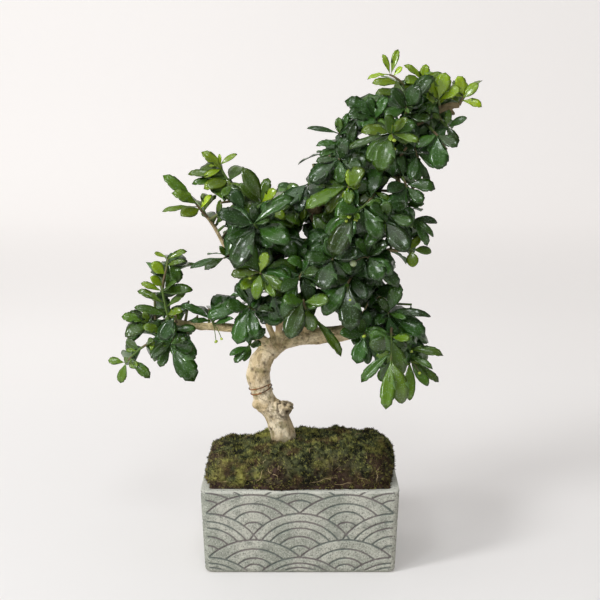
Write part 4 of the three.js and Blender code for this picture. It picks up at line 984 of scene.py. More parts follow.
# Shoots seen in the photograph: name, number of leaves behind, the stem's points, and its leaves:
# share of the stem, turn in the picture, length, width and lean. Some have buds: share, x, y, z, radius
frontShoots = [
    ("left_tip", 3, [(-110.5, -2, 213), (-112, -4, 227), (-108.5, -6, 242), (-106.8, -6, 251)],
     [(1, 157, 12, 4, 5), (1, 24, 17, 6, 10), (0.86, 15, 17, 5, 20), (0.75, 150, 13, 10, 15),
      (0.62, 168, 12, 8, 30), (0.56, 180, 18, 6, 0), (0.56, -9, 25, 10, 15), (0.42, 176, 21, 7, -5),
      (0.4, 4, 20, 6, 20), (0.3, 192, 25, 8, 10), (0.34, -30, 21, 8, 30), (0.24, -40, 17, 7, 10)]),
    ("left_fork", 2, [(-124, -4, 197), (-129, -7, 199)],
     [(0.4, 135, 20, 12, 25), (1, 160, 17, 9, 15), (0.6, 205, 22, 12, 35), (0.9, 80, 13, 6, 10)]),
    ("left_low", 2, [(-114, -7, 188), (-130, -12, 178), (-142, -14, 167)],
     [(1, 169, 14, 7, 10), (1, 256, 17, 8, 15), (0.95, -35, 11, 8, 35), (1, -28, 24, 9, 15),
      (0.85, 130, 7, 4, 0), (0.72, 38, 19, 7, 25), (0.66, 8, 13, 5, 40), (0.5, 112, 16, 9, 10)]),
    ("left_under", 1, [(-102, -8, 188), (-106, -16, 181)],
     [(0.9, 25, 16, 7, 20), (1, -50, 35, 18, 20), (1, 245, 18, 9, 20), (0.9, -65, 12, 5, 45),
      (0.5, 18, 18, 7, -10), (1, 205, 19, 10, 40)]),
    ("left_spur", 2, [(-71.5, -7, 200)],
     [(1, 148, 29, 7, 15), (1, 177, 18, 5, 25), (1, 44, 27, 12, 20), (0.8, 18, 22, 6, 35)],
     [(0.6, 2.5, -7, -14, 1.4), (0.6, 7, -6, -12, 1.3)]),
    ("left_blades", 2, [(-61, -8, 252)],
     [(1, 195, 29, 6, 10), (1, 207, 20, 7, 30), (1, 110, 11, 5, 15)]),
    ("inner_left", 2, [(-36, -16, 212), (-41, -28, 217)],
     [(1, 192, 34, 11, 10), (1, 172, 21, 13, 35), (1, 253, 31, 15, 20), (1, -77, 27, 12, 25),
      (0.8, 0, 20, 8, 25), (1, 117, 20, 6, 10)]),
    ("inner_low", 0, [(-40, -14, 185), (-41, -26, 184)],
     [(1, 227, 17, 7, 15), (1, 200, 17, 6, 20), (0.8, 250, 15, 8, 35), (1, 20, 14, 8, 40)]),
    ("left_high", 2, [(-79, -4, 289), (-83.5, -6, 295.5)],
     [(1, 137, 35, 10, 10), (1, 149, 23, 11, 30), (1, 192, 28, 5, 5), (0.95, 212, 19, 12, 45),
      (1, 31, 15, 5, 10)]),
    ("left_mid", 2, [(-67, 3, 278)],
     [(1, 83, 20, 5, 5), (1, 50, 14, 5, 20), (1, 160, 12, 6, 35), (0.8, -35, 12, 5, 30)]),
    ("left_top", 2, [(-60, -2, 317), (-64.5, -3, 326)],
     [(1, 33, 17, 5, 5), (1, 90, 9, 3, 0), (1, 216, 16, 6, 20), (1, 140, 18, 9, 15), (0.9, 190, 27, 7, 10),
      (0.75, 202, 27, 7, 0), (0.7, 222, 20, 12, 38), (0.5, 207, 20, 10, 15)]),
    ("left_crown", 2, [(-31, -10, 292), (-30.5, -12, 298)],
     [(1, 118, 32, 13, 15), (1, 40, 18, 10, 30), (0.9, 138, 24, 9, 5), (0.9, -30, 24, 10, 25),
      (1, 75, 20, 9, -15)]),
    ("left_front", 0, [(-32, -22, 276), (-35.5, -34, 284)],
     [(1, 36, 38, 12, 10), (1, 19, 15, 8, 25), (1, 161, 31, 15, 20), (0.85, 202, 26, 8, 10),
      (0.9, 242, 37, 18, 20), (0.9, -22, 32, 18, 28), (0.4, -32, 36, 15, 10), (1, 95, 16, 9, 20)]),
    ("left_face", 1, [(-30, -24, 242), (-31, -36, 246)],
     [(1, 72, 19, 9, 20), (1, 172, 23, 10, 20), (1, -34, 24, 10, 15), (1, 260, 21, 10, 20),
      (0.9, -56, 23, 9, 30), (0.8, 215, 20, 10, 20)],
     [(0.9, -8, -5, -3, 1.4), (0.9, -10, -3, 1, 1.2)]),
    ("centre_left", 2, [(12, -14, 262), (4, -26, 248), (-1.5, -35, 240)],
     [(0.75, -74, 25, 13, 20), (1, 249, 33, 12, 15), (0.6, -62, 22, 7, 0), (1, 205, 22, 11, 25),
      (0.9, 20, 20, 11, 35), (0.8, 130, 18, 10, 25)]),
    ("centre_low", 0, [(12, -16, 203), (5, -36, 217), (2.5, -43, 226)],
     [(1, 248, 32, 17, 20), (0.55, -52, 42, 8, 10), (1, 168, 24, 12, 25), (1, 5, 22, 12, 25),
      (0.8, -70, 22, 12, 30)]),
    ("centre", 0, [(30, -16, 261), (25, -36, 256)],
     [(1, 249, 28, 18, 28), (1, 20, 24, 13, 25), (1, 172, 22, 12, 20), (1, 105, 20, 12, 20),
      (0.8, -45, 21, 11, 35)]),
    ("centre_face", 0, [(43, -18, 243), (37, -38, 238)],
     [(1, 230, 31, 15, 15), (1, -86, 37, 19, 22), (0.8, -50, 22, 13, 35), (0.5, -75, 30, 12, 5),
      (1, 165, 20, 11, 30)],
     [(1, -1, -6, -14, 1.3), (1, 2, -6, -12, 1.2)]),
    ("right_face", 0, [(53, -16, 253), (53.5, -34, 258)],
     [(1, -60, 22, 15, 30), (1, -33, 22, 12, 15), (0.85, -42, 34, 12, 0), (0.5, -64, 28, 9, -10),
      (1, 125, 18, 10, 20), (1, 40, 20, 12, 20)],
     [(0.95, -12, -4, -4, 2.9)]),
    ("crown_mid", 0, [(37, -14, 312), (38, -30, 312)],
     [(1, 92, 14, 6, 10), (1, 56, 22, 16, 38), (1, 250, 12, 5, 10), (0.9, 230, 27, 9, 10),
      (1, 268, 15, 9, 35), (1, 204, 38, 12, 12)]),
    ("crown_hanging", 0, [(54, -12, 319), (57.5, -24, 306.5), (50, -32, 298), (40.5, -38, 293)],
     [(0.45, 222, 17, 8, 30), (0.5, -22, 15, 6, 15), (1, 244, 37, 18, 15), (0.85, -55, 29, 15, 22),
      (0.95, 175, 20, 10, 25)],
     [(1, -6, -3, 1, 1.5), (1, -3, -7, -2, 1.6), (0.97, -6, -5, -6, 1.5), (0.94, 0, -5, -6, 1.5)]),
    ("crown_left_tip", 2, [(36, -4, 334), (32.5, -5, 344), (31, -6, 351.5)],
     [(1, 170, 26, 5, 5), (1, 92, 13, 7, 10), (1, 65, 18, 6, 0), (0.75, 190, 20, 6, 15),
      (0.68, 210, 20, 7, 0), (0.55, 62, 24, 10, 20)]),
    ("crown_left", 0, [(35, -12, 329), (30, -24, 333)],
     [(1, 184, 18, 7, 10), (1, 217, 30, 12, 20), (1, 275, 20, 11, 30), (1, -20, 20, 12, 30),
      (1, 70, 19, 11, 25)]),
    ("crown_front", 0, [(72, -12, 350), (70.5, -26, 353)],
     [(1, 174, 25, 11, 20), (1, 110, 20, 13, 42), (1, -15, 23, 8, 15), (0.85, 198, 36, 7, 0),
      (1, 45, 18, 9, 20)],
     [(1, 2, -5, -5, 1.5), (0.9, -3, -5, -8, 1.6), (0.8, 2, -5, -11, 1.5), (0.7, -2, -3, -14, 1.5)]),
    ("crown_left_top", 2, [(62, -3, 354), (58.5, -8, 364)],
     [(1, 148, 27, 14, 10), (1, 172, 25, 13, 32), (1, 60, 20, 10, 15), (1, 105, 17, 9, 0)]),
    ("crown_tip", 2, [(85, 2, 371), (82, 1, 389), (76, 0, 395), (71, 0, 397.5)],
     [(1, 190, 18, 4, 5), (1, 109, 17, 5, 5), (1, 72, 21, 6, 0), (0.62, 184, 23, 8, 15),
      (0.52, 196, 25, 8, 25), (1, 30, 12, 5, 15)]),
    ("crown_high", 0, [(84, -8, 364), (83, -20, 373)],
     [(1, 62, 22, 15, 35), (1, 52, 31, 13, 5), (1, 200, 20, 11, 20), (1, 132, 20, 12, 20),
      (0.8, -18, 22, 12, 30)]),
    ("crown_high_right", 2, [(98.5, 5, 377), (98.5, 8, 392)],
     [(1, 138, 20, 6, 5), (1, 176, 17, 10, 25), (0.7, 50, 23, 13, 20), (1, 80, 14, 8, 5)]),
    ("crown_right", 1, [(108.5, -14, 378.5)],
     [(1, 78, 22, 13, 15), (0.8, 162, 14, 10, 38), (1, 30, 20, 11, 25), (1, 125, 18, 10, 10)]),
    ("crown_end", 2, [(130.5, 0, 381)],
     [(1, 110, 17, 10, 15), (1, 164, 17, 8, 20), (1, 42, 15, 9, 15), (1, -30, 17, 8, 20)]),
    ("right_twig", 2, [(112, -4, 362), (117, -8, 356.5)],
     [(1, 29, 17, 7, 15), (1, 88, 14, 6, 10), (0.7, 145, 13, 6, 20), (1, -60, 16, 8, 15)]),
    ("right_drop", 0, [(103, -12, 356), (107, -22, 351)],
     [(1, -88, 27, 16, 20), (1, 205, 20, 9, 20), (1, -28, 19, 11, 30)]),
    ("right_mid", 2, [(89, -7, 344), (93, -16, 333)],
     [(1, 268, 18, 8, 10), (1, -69, 23, 6, 0), (1, 248, 20, 10, 30), (1, -20, 22, 12, 25),
      (0.85, 172, 20, 11, 30)]),
    ("right_inner", 1, [(81, -15, 318), (84, -22, 310)],
     [(0.6, 97, 20, 8, 5), (1, -42, 18, 11, 30), (1, 12, 22, 12, 20), (1, 185, 20, 12, 25)]),
    ("right_low", 0, [(73, -17, 304), (66, -32, 285)],
     [(1, -50, 31, 18, 20), (1, 230, 31, 15, 20), (1, 90, 18, 11, 20), (1, 150, 24, 13, 25),
      (1, -3, 22, 12, 15)]),
    ("right_out", 2, [(85, -10, 290), (90, -10, 283)],
     [(1, -3, 20, 7, 10), (1, -35, 22, 6, 25), (1, -58, 24, 8, 10), (0.5, 28, 16, 9, 20),
      (1, 250, 20, 10, 20)]),
    ("right_end", 2, [(90.5, -11, 259)],
     [(1, -6, 16, 8, 15), (1, 270, 14, 10, 20), (1, 60, 13, 7, 10)]),
    ("low_right", 0, [(70, -24, 211)],
     [(1, 120, 15, 8, 10), (1, 69, 25, 12, 15), (1, 0, 34, 7, 15), (1, -10, 18, 6, 40), (1, -31, 35, 15, 10),
      (0.9, 215, 15, 9, 30)]),
    ("low_right_tip", 2, [(85.5, -28, 177), (87.5, -31, 173.5)],
     [(1, -34, 28, 7, 10), (1, -52, 24, 9, 20), (1, 269, 31, 9, 15), (0.4, 2, 29, 8, 10),
      (0.8, -14, 21, 6, 30)],
     [(1, 7, -6, -8, 1.4), (0.6, 2, -5, 6, 1.3)]),
    ("low_right_hanging", 0, [(73, -26, 199), (71.5, -38, 192), (71, -45, 178)],
     [(0.6, -78, 32, 16, 12), (1, -74, 34, 15, 15), (1, 262, 38, 12, 25), (0.95, 215, 30, 9, 15),
      (0.7, 20, 17, 8, 30)]),
    ("low_centre", 0, [(50, -20, 195), (51, -36, 197)],
     [(1, 253, 24, 13, 20), (1, -84, 24, 9, 5), (1, 172, 22, 12, 25), (1, 110, 16, 9, 20)],
     [(1, -1, -7, 0, 1.4)]),
]
# Shoots on the far side: name, number of leaves all round, and the stem's points
farShoots = [
    ("far_top", 6, [(62, 18, 353), (59, 34, 359)]),
    ("far_crown", 6, [(27, 20, 326), (23, 36, 335)]),
    ("far_end", 6, [(100, 14, 369), (102, 28, 374)]),
    ("far_right", 6, [(84, 18, 340), (90, 36, 332)]),
    ("far_left", 6, [(2, 18, 288), (-6, 36, 292)]),
    ("far_mid", 6, [(34, 26, 300), (42, 44, 297)]),
    ("far_side", 6, [(66, 22, 256), (72, 38, 266)]),
    ("far_centre", 6, [(22, 22, 258), (11, 40, 252)]),
    ("far_inner", 6, [(-36, 12, 258), (-43, 32, 263)]),
    ("far_low", 6, [(54, 22, 222), (46, 40, 227)]),
    ("far_bottom", 6, [(-30, 12, 203), (-38, 30, 213)]),
]


leafLook = {
    "arch": 0.09, "fold": 0.07, "spacing": 1.5, "gap": 4, "canopyDepth": 1.35, "stem": (1.3, 0.85),
    "stemRoom": (1.5, 1.25), "stemGap": 2, "woodGap": 2.5, "ownStem": 1.4, "nearShare": 1.3, "nearMargin": 16,
    "veinSlant": 0.24, "veinRows": 7.5, "midrib": (0.09, 0.02), "lateral": (0.1, 0.02),
    "lateralEnds": (1.0, 0.7), "underFrom": 1.5, "toothedFrom": 14, "grownFrom": 12, "toothedShare": 0.6,
    "budStalk": 0.35, "sides": 8, "droop": 0.2, "closeness": 0.3, "ownCloseness": 0.2, "goldenTurn": 137.5,
    "tipLeaves": 6, "stemStep": 3.0, "spurStep": 8.0, "spurLeaves": 6, "youngLeaves": 5,
    "spurTall": 5, "spurDraw": 12, "spurAlternate": 14, "spurLift": 0.25,
    "dark": tint(8, 27, 5), "green": tint(42, 86, 13), "sheen": tint(60, 98, 46),
    "fresh": tint(166, 194, 8), "vein": tint(98, 132, 76), "under": tint(96, 126, 78),
    "dot": tint(140, 162, 142), "bark": tint(110, 92, 66), "stemGreen": tint(84, 108, 40),
    "bud": tint(170, 190, 46), "berry": tint(196, 206, 180),
}
# Leaves by rule: least length and what a draw adds to it, least lean and what a draw adds to it
ruledLeaves = {
    "behind": (19, 9, -25, 60), "around": (20, 11, -35, 75), "tip": (25, 9, -20, 65),
    "stem": (21, 9, -30, 65), "spur": (20, 9, -25, 60), "young": (7, 6, 25, 45),
}
firstDraws = {"tip": 9000, "stem": 29000, "spur": 60000, "young": 80000}
usualFreshness = 0.06
# Young colour: up to a length for small leaves, less of it on grown ones and on leaves beyond the part's own
youth = {"small": 17, "smallSpan": 7, "grownSpan": 8, "grownLoss": 0.55, "addedShare": 0.35}
# How young and yellow-green the leaves of a shoot are, where that shows
freshness = {
    "left_tip": 0.4, "left_fork": 0.2, "left_high": 0.8, "left_mid": 0.25, "left_top": 0.6, "left_crown": 0.7,
    "crown_tip": 1, "crown_end": 1, "crown_right": 0.85, "crown_high_right": 0.6, "crown_mid": 0.52,
    "crown_hanging": 0.12, "crown_front": 0.4, "left_low": 0.25, "low_right_tip": 0.4, "left_face": 0.45,
    "low_right_hanging": 0.35, "centre_low": 0.3, "right_end": 0.35,
}
# The crown's edge in the photograph, in its pixels: leaves beyond the part's own stay within it
crownEdge = [
    [(218, 206), (230, 198), (242, 200), (250, 187), (262, 192), (272, 178), (282, 182), (300, 180),
     (309, 174), (316, 166), (330, 160), (324, 153), (338, 149), (334, 140), (338, 124), (346, 114),
     (352, 99), (364, 95), (376, 92), (380, 84), (388, 79), (400, 82), (406, 74), (414, 71), (426, 71),
     (440, 74), (448, 84), (460, 78), (476, 88), (480, 100), (470, 104), (448, 108), (447, 124), (444, 138),
     (445, 152), (436, 158), (428, 154), (418, 164), (412, 176), (409, 188), (413, 200), (414, 212),
     (428, 215), (426, 226), (432, 240), (424, 248), (414, 256), (404, 250), (390, 248), (396, 268),
     (390, 278), (402, 284), (398, 296), (392, 303), (410, 308), (421, 320), (424, 332), (432, 342),
     (428, 350), (431, 364), (422, 368), (412, 364), (411, 380), (404, 386), (392, 384), (384, 388),
     (377, 380), (376, 362), (362, 352), (352, 347), (350, 330), (343, 322), (334, 310), (328, 302),
     (322, 308), (314, 314), (306, 312), (298, 322), (288, 325), (281, 320), (281, 334), (274, 338),
     (266, 334), (258, 345), (250, 340), (240, 336), (234, 324), (236, 312), (224, 316), (208, 312),
     (206, 300), (216, 294), (232, 292), (231, 283), (242, 280), (240, 270), (231, 267), (227, 254),
     (224, 240), (230, 226), (222, 214)],
    [(150, 264), (164, 262), (168, 250), (182, 248), (188, 254), (188, 264), (180, 272), (190, 280),
     (191, 291), (182, 295), (188, 305), (188, 318), (200, 321), (196, 331), (188, 336), (196, 350),
     (204, 366), (200, 372), (188, 366), (178, 350), (168, 350), (165, 361), (156, 361), (150, 350),
     (142, 354), (151, 370), (147, 375), (138, 366), (132, 362), (123, 378), (118, 378), (122, 362),
     (113, 356), (120, 349), (126, 342), (124, 332), (119, 324), (123, 319), (134, 322), (138, 306),
     (142, 297), (146, 288), (146, 281), (150, 276)],
    [(186, 168), (201, 168), (202, 156), (212, 154), (222, 165), (234, 184), (246, 184), (251, 196),
     (232, 198), (214, 196), (203, 182), (187, 176)],
]
# Spots of the photograph, in its pixels, where wood shows between the leaves: x, y, reach
bareSpots = [(314, 209, 9), (361, 306, 6), (425, 129, 8), (447, 104, 9), (307, 318, 6), (273, 181, 5)]
# Spots where the backdrop shows through the crown: x, y, reach
gapSpots = [
    (396, 115, 4), (363, 136, 4), (367, 143, 3), (374, 146, 2.5), (418, 91, 2), (384, 79, 3), (387, 88, 3),
    (420, 140, 3), (414, 152, 2), (386, 191, 4), (395, 178, 4), (399, 187, 2.5), (304, 185, 4),
    (302, 235, 3.5), (381, 238, 4), (384, 245, 3), (447, 84, 4), (306, 224, 2), (255, 240, 3),
    (275, 256, 3), (289, 257, 2.5), (266, 293, 4), (296, 287, 4), (242, 304, 4), (235, 312, 4),
    (256, 318, 3), (270, 328, 3), (252, 192, 3.5), (273, 198, 4), (264, 198, 2.5), (229, 205, 3),
    (181, 297, 5), (173, 303, 3), (157, 312, 2.5), (163, 318, 3), (147, 305, 2.5), (140, 311, 3.5),
    (182, 323, 3.5), (148, 333, 4), (141, 341, 4), (158, 288, 3), (149, 290, 3), (330, 312, 5),
    (336, 321, 6), (315, 320, 6), (387, 281, 4), (383, 303, 3), (389, 317, 4), (300, 262, 3),
    (293, 266, 2.5), (411, 243, 3.5), (402, 370, 2), (397, 335, 2), (361, 347, 3),
]
leafOutline = [(0, 0.1), (0.26, 0.4), (0.64, 1), (0.93, 0.7), (1, 0.05)]
bends = [
    (0, 0), (0, 12), (0, -12), (10, 6), (-10, 6), (10, -10), (-10, -10), (0, 26), (0, -26),
    (20, 16), (-20, 16), (20, -18), (-20, -18), (32, 0), (-32, 0),
]
shrinks = [1, 0.8, 0.62]
sampleShares = [0.3, 0.5, 0.7, 0.88]
sampleSides = [-0.85, 0, 0.85]


def halfWidth(share):
    return float(np.interp(share, [p[0] for p in leafOutline], [p[1] for p in leafOutline]))


def unit(v):
    return v / np.linalg.norm(v)


def leafPoint(leaf, share, across):
    arch = leaf["length"] * leafLook["arch"] * 4 * share * (1 - share)
    fold = leaf["width"] * leafLook["fold"] * (abs(across) * 2 - 1) * min(1, share * 3)
    point = leaf["base"] + leaf["along"] * leaf["length"] * share
    return point + leaf["side"] * leaf["width"] * 0.5 * across + leaf["normal"] * (arch + fold)


def leafSamples(leaf):
    rows = [leafPoint(leaf, 1, 0)]
    for share in sampleShares:
        rows += [leafPoint(leaf, share, side * halfWidth(share)) for side in sampleSides]
    return np.array(rows)


def placedLeaf(curve, share, place, way, facing, length, width):
    base = curve.at(max(0.1, share - place * leafLook["spacing"] / curve.span))
    reach = curve.at(share) + way * length - base
    along = unit(reach)
    normal = unit(facing - along * facing.dot(along))
    side = np.cross(along, normal)
    size = {"length": np.linalg.norm(reach), "width": width}
    return {"base": base, "along": along, "normal": normal, "side": side, **size}


def bentAngles(row, bend):
    return math.radians(row[1] + bend[0]), math.radians(row[4] + bend[1])


def frontLeaf(curve, place, row, bend):  # turned in the front view's plane and leaning to the viewer
    angle, tip = bentAngles(row, bend)
    way = np.array((math.cos(angle) * math.cos(tip), -math.sin(tip), math.sin(angle) * math.cos(tip)))
    return placedLeaf(curve, row[0], place, way, np.array((0, -0.8, 0.55)), *row[2:4])


def roundLeaf(curve, place, row, bend):  # set by its bearing round the shoot and its rise above level
    angle, tip = bentAngles(row, bend)
    way = np.array((math.cos(angle) * math.cos(tip), math.sin(angle) * math.cos(tip), math.sin(tip)))
    facing = np.array((0.5 * math.cos(angle), 0.5 * math.sin(angle), 0.8))
    return placedLeaf(curve, row[0], place, way, facing, *row[2:4])


def rosetteLeaf(curve, place, row, bend):  # turned round a rosette that looks out of the crown
    out = -0.8 if curve.at(1)[1] < 3 else 0.8
    facing = unit(curve.way(row[0]) * 0.7 + np.array((0, out, 0.45)))
    first = unit(np.cross(facing, (0.3, 0.2, 1)))
    second = np.cross(facing, first)
    angle, tip = bentAngles(row, bend)
    way = (first * math.cos(angle) + second * math.sin(angle)) * math.cos(tip) + facing * math.sin(tip)
    way = unit(way - np.array((0, 0, leafLook["droop"])))
    return placedLeaf(curve, row[0], place, way, facing, *row[2:4])


def ruledRow(kind, share, turn, n, least=0.45, wider=0.08):  # a leaf's row, sized by draws
    shortest, longer, low, swing = ruledLeaves[kind]
    length = shortest + longer * draw(n + 1)
    return (share, turn, length, length * (least + wider * draw(n + 3)), low + swing * draw(n + 4))


def leavesBehind(number, count):
    rows = []
    for k in range(count):
        n = number * 40 + k * 5
        bearing = 90 + 150 * ((k + 0.5) / count - 0.5) + 30 * (draw(n + 2) - 0.5)
        rows.append(ruledRow("behind", 1 - 0.5 * ((k + 1) / (count + 1)), bearing, n))
    return rows


def leavesAround(number, count):
    rows = []
    for k in range(count):
        n = number * 40 + k * 5
        bearing = leafLook["goldenTurn"] * k + 360 * draw(n) / count
        rows.append(ruledRow("around", 1 - 0.55 * (k / count), bearing, n))
    return rows


# Points that leaves keep away from: each has a solid radius, a clearance past it and an owner
roomSize = 60000
roomStep = 3
room = {
    "used": 0, "points": np.zeros((roomSize, 3)), "solid": np.zeros(roomSize), "extra": np.zeros(roomSize),
    "owner": np.zeros(roomSize, int),
}


def occupy(points, solid, extra, owner):
    rows = slice(room["used"], room["used"] + len(points))
    for key, value in (("points", points), ("solid", solid), ("extra", extra), ("owner", owner)):
        room[key][rows] = value
    room["used"] = rows.stop


def occupyTube(curve, radii, owner, extra):
    shares = stepShares(curve.span, roomStep)
    occupy([curve.at(s) for s in shares], [radiusAlong(radii, s) for s in shares], extra, owner)


def photoPlace(points):  # where points in mm show in the photograph, in its pixels
    away, pitch = points - np.array(view["eye"]), math.radians(view["pitch"])
    ahead = away[:, 1] * math.cos(pitch) - away[:, 2] * math.sin(pitch)
    above = away[:, 1] * math.sin(pitch) + away[:, 2] * math.cos(pitch)
    scale, middle = view["size"] * view["lens"] / view["sensor"], view["size"] / 2
    return np.stack((middle + scale * away[:, 0] / ahead, middle - scale * above / ahead), axis=1)


def inside(spots, edge):  # which spots lie within a closed edge
    x, y = spots[:, :1], spots[:, 1:]
    corners = np.array(edge, float)
    (x0, y0), (x1, y1) = corners.T, np.roll(corners, -1, axis=0).T
    crossing = (y0 > y) != (y1 > y)
    reach = x0 + (x1 - x0) * (y - y0) / np.where(y1 == y0, 1, y1 - y0)
    return (crossing & (x < reach)).sum(axis=1) % 2 == 1


def crownMasks():  # pixels open to any added leaf, and to one in front of the wood
    size = view["size"]
    middles = np.arange(size) + 0.5
    anywhere = np.zeros((size, size), bool)
    for row in range(size):
        spots = np.stack((middles, np.full(size, row + 0.5)), axis=1)
        anywhere[row] = np.any([inside(spots, edge) for edge in crownEdge], axis=0)
    for x, y, reach in gapSpots:
        anywhere[np.hypot(middles[None] - x, middles[:, None] - y) < reach + 1] = False
    inFront = anywhere.copy()
    for x, y, reach in bareSpots:
        inFront[np.hypot(middles[None] - x, middles[:, None] - y) < reach] = False
    return anywhere, inFront


openPixels, openFront = crownMasks()
# The front leaves' depth as the photograph sees them, in cells of a few pixels
cell = 3
noLeaf = -999.0
frontDepth = np.full((view["size"] // cell, view["size"] // cell), noLeaf)


def coverFront(leaf):
    spots = [(s, a * halfWidth(s)) for s in np.linspace(0.15, 0.95, 12) for a in np.linspace(-0.8, 0.8, 7)]
    points = np.array([leafPoint(leaf, *spot) for spot in spots])
    cells = (photoPlace(points) / cell).astype(int)
    for (column, row), depth in zip(cells, points[:, 1]):
        known = frontDepth[row, column]
        frontDepth[row, column] = depth if known == noLeaf else min(known, depth)


def withinCrown(samples):  # inside the part's own box and open pixels, and behind the front leaves
    if not ((samples * mm > cadBox[0]).all() and (samples * mm < cadBox[1]).all()):
        return False
    column, row = photoPlace(samples).astype(int).clip(0, view["size"] - 1).T
    hidden = samples[:, 1] >= frontDepth[row // cell, column // cell] + 1
    if not (openPixels[row, column].all() and hidden.all()):
        return False
    front = samples[:, 1] < 2
    return openFront[row[front], column[front]].all()


def settleLeaf(makeLeaf, curve, place, row, shoot, added=False):  # the first bend and size that fit
    look, used = leafLook, room["used"]
    points, own = room["points"][:used], room["owner"][:used] == shoot["number"]
    share = np.where(own, look["ownCloseness"], look["closeness"]) if added else 1
    reach = room["solid"][:used] + room["extra"][:used] * share
    first = makeLeaf(curve, place, row, (0, 0))
    far = first["length"] * look["nearShare"] + look["nearMargin"]
    near = np.linalg.norm(points - first["base"], axis=1) < far
    near &= (room["solid"][:used] < look["ownStem"]) | ~own if added else ~own
    points, reach = points[near], reach[near][:, None]
    for shrink in shrinks:
        smaller = (row[0], row[1], row[2] * shrink, row[3] * shrink, row[4])
        for bend in bends:
            leaf = makeLeaf(curve, place, smaller, bend)
            samples = leafSamples(leaf)
            if added and not withinCrown(samples):
                continue
            if not (np.linalg.norm(points[:, None] - samples[None], axis=2) < reach).any():
                occupy(samples, 0, look["gap"], shoot["number"])
                return leaf
    return None


def settleAdded(curve, rows, shoot):
    found = [settleLeaf(rosetteLeaf, curve, 0, row, shoot, True) for row in rows]
    shoot["added"] += [leaf for leaf in found if leaf]
    return any(found)


def rosetteRow(kind, n, share, turn):
    return ruledRow(kind, share, turn + 50 * draw(n + 2), n, 0.48, 0.16)


def growAdded(kind, count, places, shoot):  # leaves of a kind round a shoot, at (share, turn) places
    n = firstDraws[kind] + shoot["number"] * 97
    rows = [rosetteRow(kind, n + 6 * k, *places(k, count)) for k in range(count)]
    settleAdded(shoot["curve"], rows, shoot)


# Wood that carries short leafy spurs: its line, and the first and last share of its length
spurPlan = [
    ("trunk", 0.5, 0.95), ("leftStem", 0.25, 1), ("leftTopTwig", 0.1, 1), ("leftTwig", 0.5, 1),
    ("rightHanger", 0.1, 1), ("lowerRight", 0.1, 1), ("rightTwig", 0.1, 0.7), ("lowerLeft", 0.3, 1),
]


def growSpurs(shoots):  # short twigs out of the wood, each with a rosette, on the nearest shoot's piece
    look, tips = leafLook, np.array([shoot["curve"].at(1) for shoot in shoots])
    for group, (name, first, last) in enumerate(spurPlan):
        line = trunkLine if name == "trunk" else branchLines[name]
        wood, radii = Line(line), [p[3] for p in line]
        count = math.ceil((last - first) * wood.length() / look["spurStep"])
        for k in range(2 * count):
            n = firstDraws["spur"] + group * 997 + k * 41
            share = first + (last - first) * (k + 0.5) / (2 * count)
            along = wood.way(share)
            a = unit(np.cross(along, (0, 1, 0.2)))
            turn = math.radians(look["goldenTurn"] * k + 40 * draw(n))
            lift = np.array((0, 0, look["spurLift"]))
            out = unit(a * math.cos(turn) + np.cross(along, a) * math.sin(turn) + lift)
            reach = look["spurDraw"] + look["spurAlternate"] * (k % 2)
            tall = radiusAlong(radii, share) + look["spurTall"] + reach * draw(n + 1)
            spur = Line([wood.at(share), wood.at(share) + out * tall])
            spur.span = tall
            shoot = shoots[np.argmin(np.linalg.norm(tips - spur.at(1), axis=1))]
            around = range(look["spurLeaves"])
            rows = [rosetteRow("spur", n + 6 * j, 1 - 0.04 * j, 60 * j) for j in around]
            if settleAdded(spur, rows, shoot):
                shoot["spurs"].append(spur)


def growRows(makeLeaf, rows, shoot):  # the part's own leaves
    for row in rows:
        leaf = settleLeaf(makeLeaf, shoot["curve"], len(shoot["placed"]), row, shoot)
        if leaf:
            shoot["placed"].append(leaf)


def startShoots():  # each shoot's stem, from the nearest wood
    wood, shoots = [], []
    for line in woodLines:
        curve = Line(line)
        curve.span = curve.length()
        wood += [curve.at(s) for s in stepShares(curve.span, roomStep)]
        occupyTube(curve, [p[3] for p in line], -1, leafLook["woodGap"])
    wood = np.array(wood)
    for number, (name, count, points, *grown) in enumerate(frontShoots + farShoots):
        stem = [np.array((x, y * leafLook["canopyDepth"], z)) for x, y, z in points]
        start = wood[np.argmin(np.linalg.norm(wood - stem[0], axis=1))]
        curve = Line([start] + stem)
        curve.span = curve.length()
        leaves, buds = (grown + [[], []])[:2]
        shoots.append({"name": name, "number": number, "count": count, "curve": curve, "leaves": leaves,
                       "buds": buds, "placed": [], "added": [], "spurs": []})
    return shoots


def growShoots():
    look, shoots = leafLook, startShoots()
    for shoot in shoots:
        occupyTube(shoot["curve"], look["stemRoom"], shoot["number"], look["stemGap"])
    for shoot in shoots:
        growRows(frontLeaf, shoot["leaves"], shoot)
    for shoot in shoots:
        for leaf in shoot["placed"]:
            coverFront(leaf)
    for shoot in shoots:
        ruled = leavesBehind if shoot["number"] < len(frontShoots) else leavesAround
        growRows(roundLeaf, ruled(shoot["number"], shoot["count"]), shoot)
    for shoot in shoots:
        tips = look["tipLeaves"]
        growAdded("tip", tips, lambda k, count: (1 - 0.03 * k, 360 / count * k), shoot)
    for shoot in shoots:
        steps = math.ceil(shoot["curve"].span / look["stemStep"])
        growAdded("stem", steps, lambda k, count: (0.3 + 0.6 * k / count, look["goldenTurn"] * k), shoot)
    growSpurs(shoots)
    for shoot in shoots:
        growAdded("young", look["youngLeaves"], lambda k, count: (1, 90 * k), shoot)
    return shoots


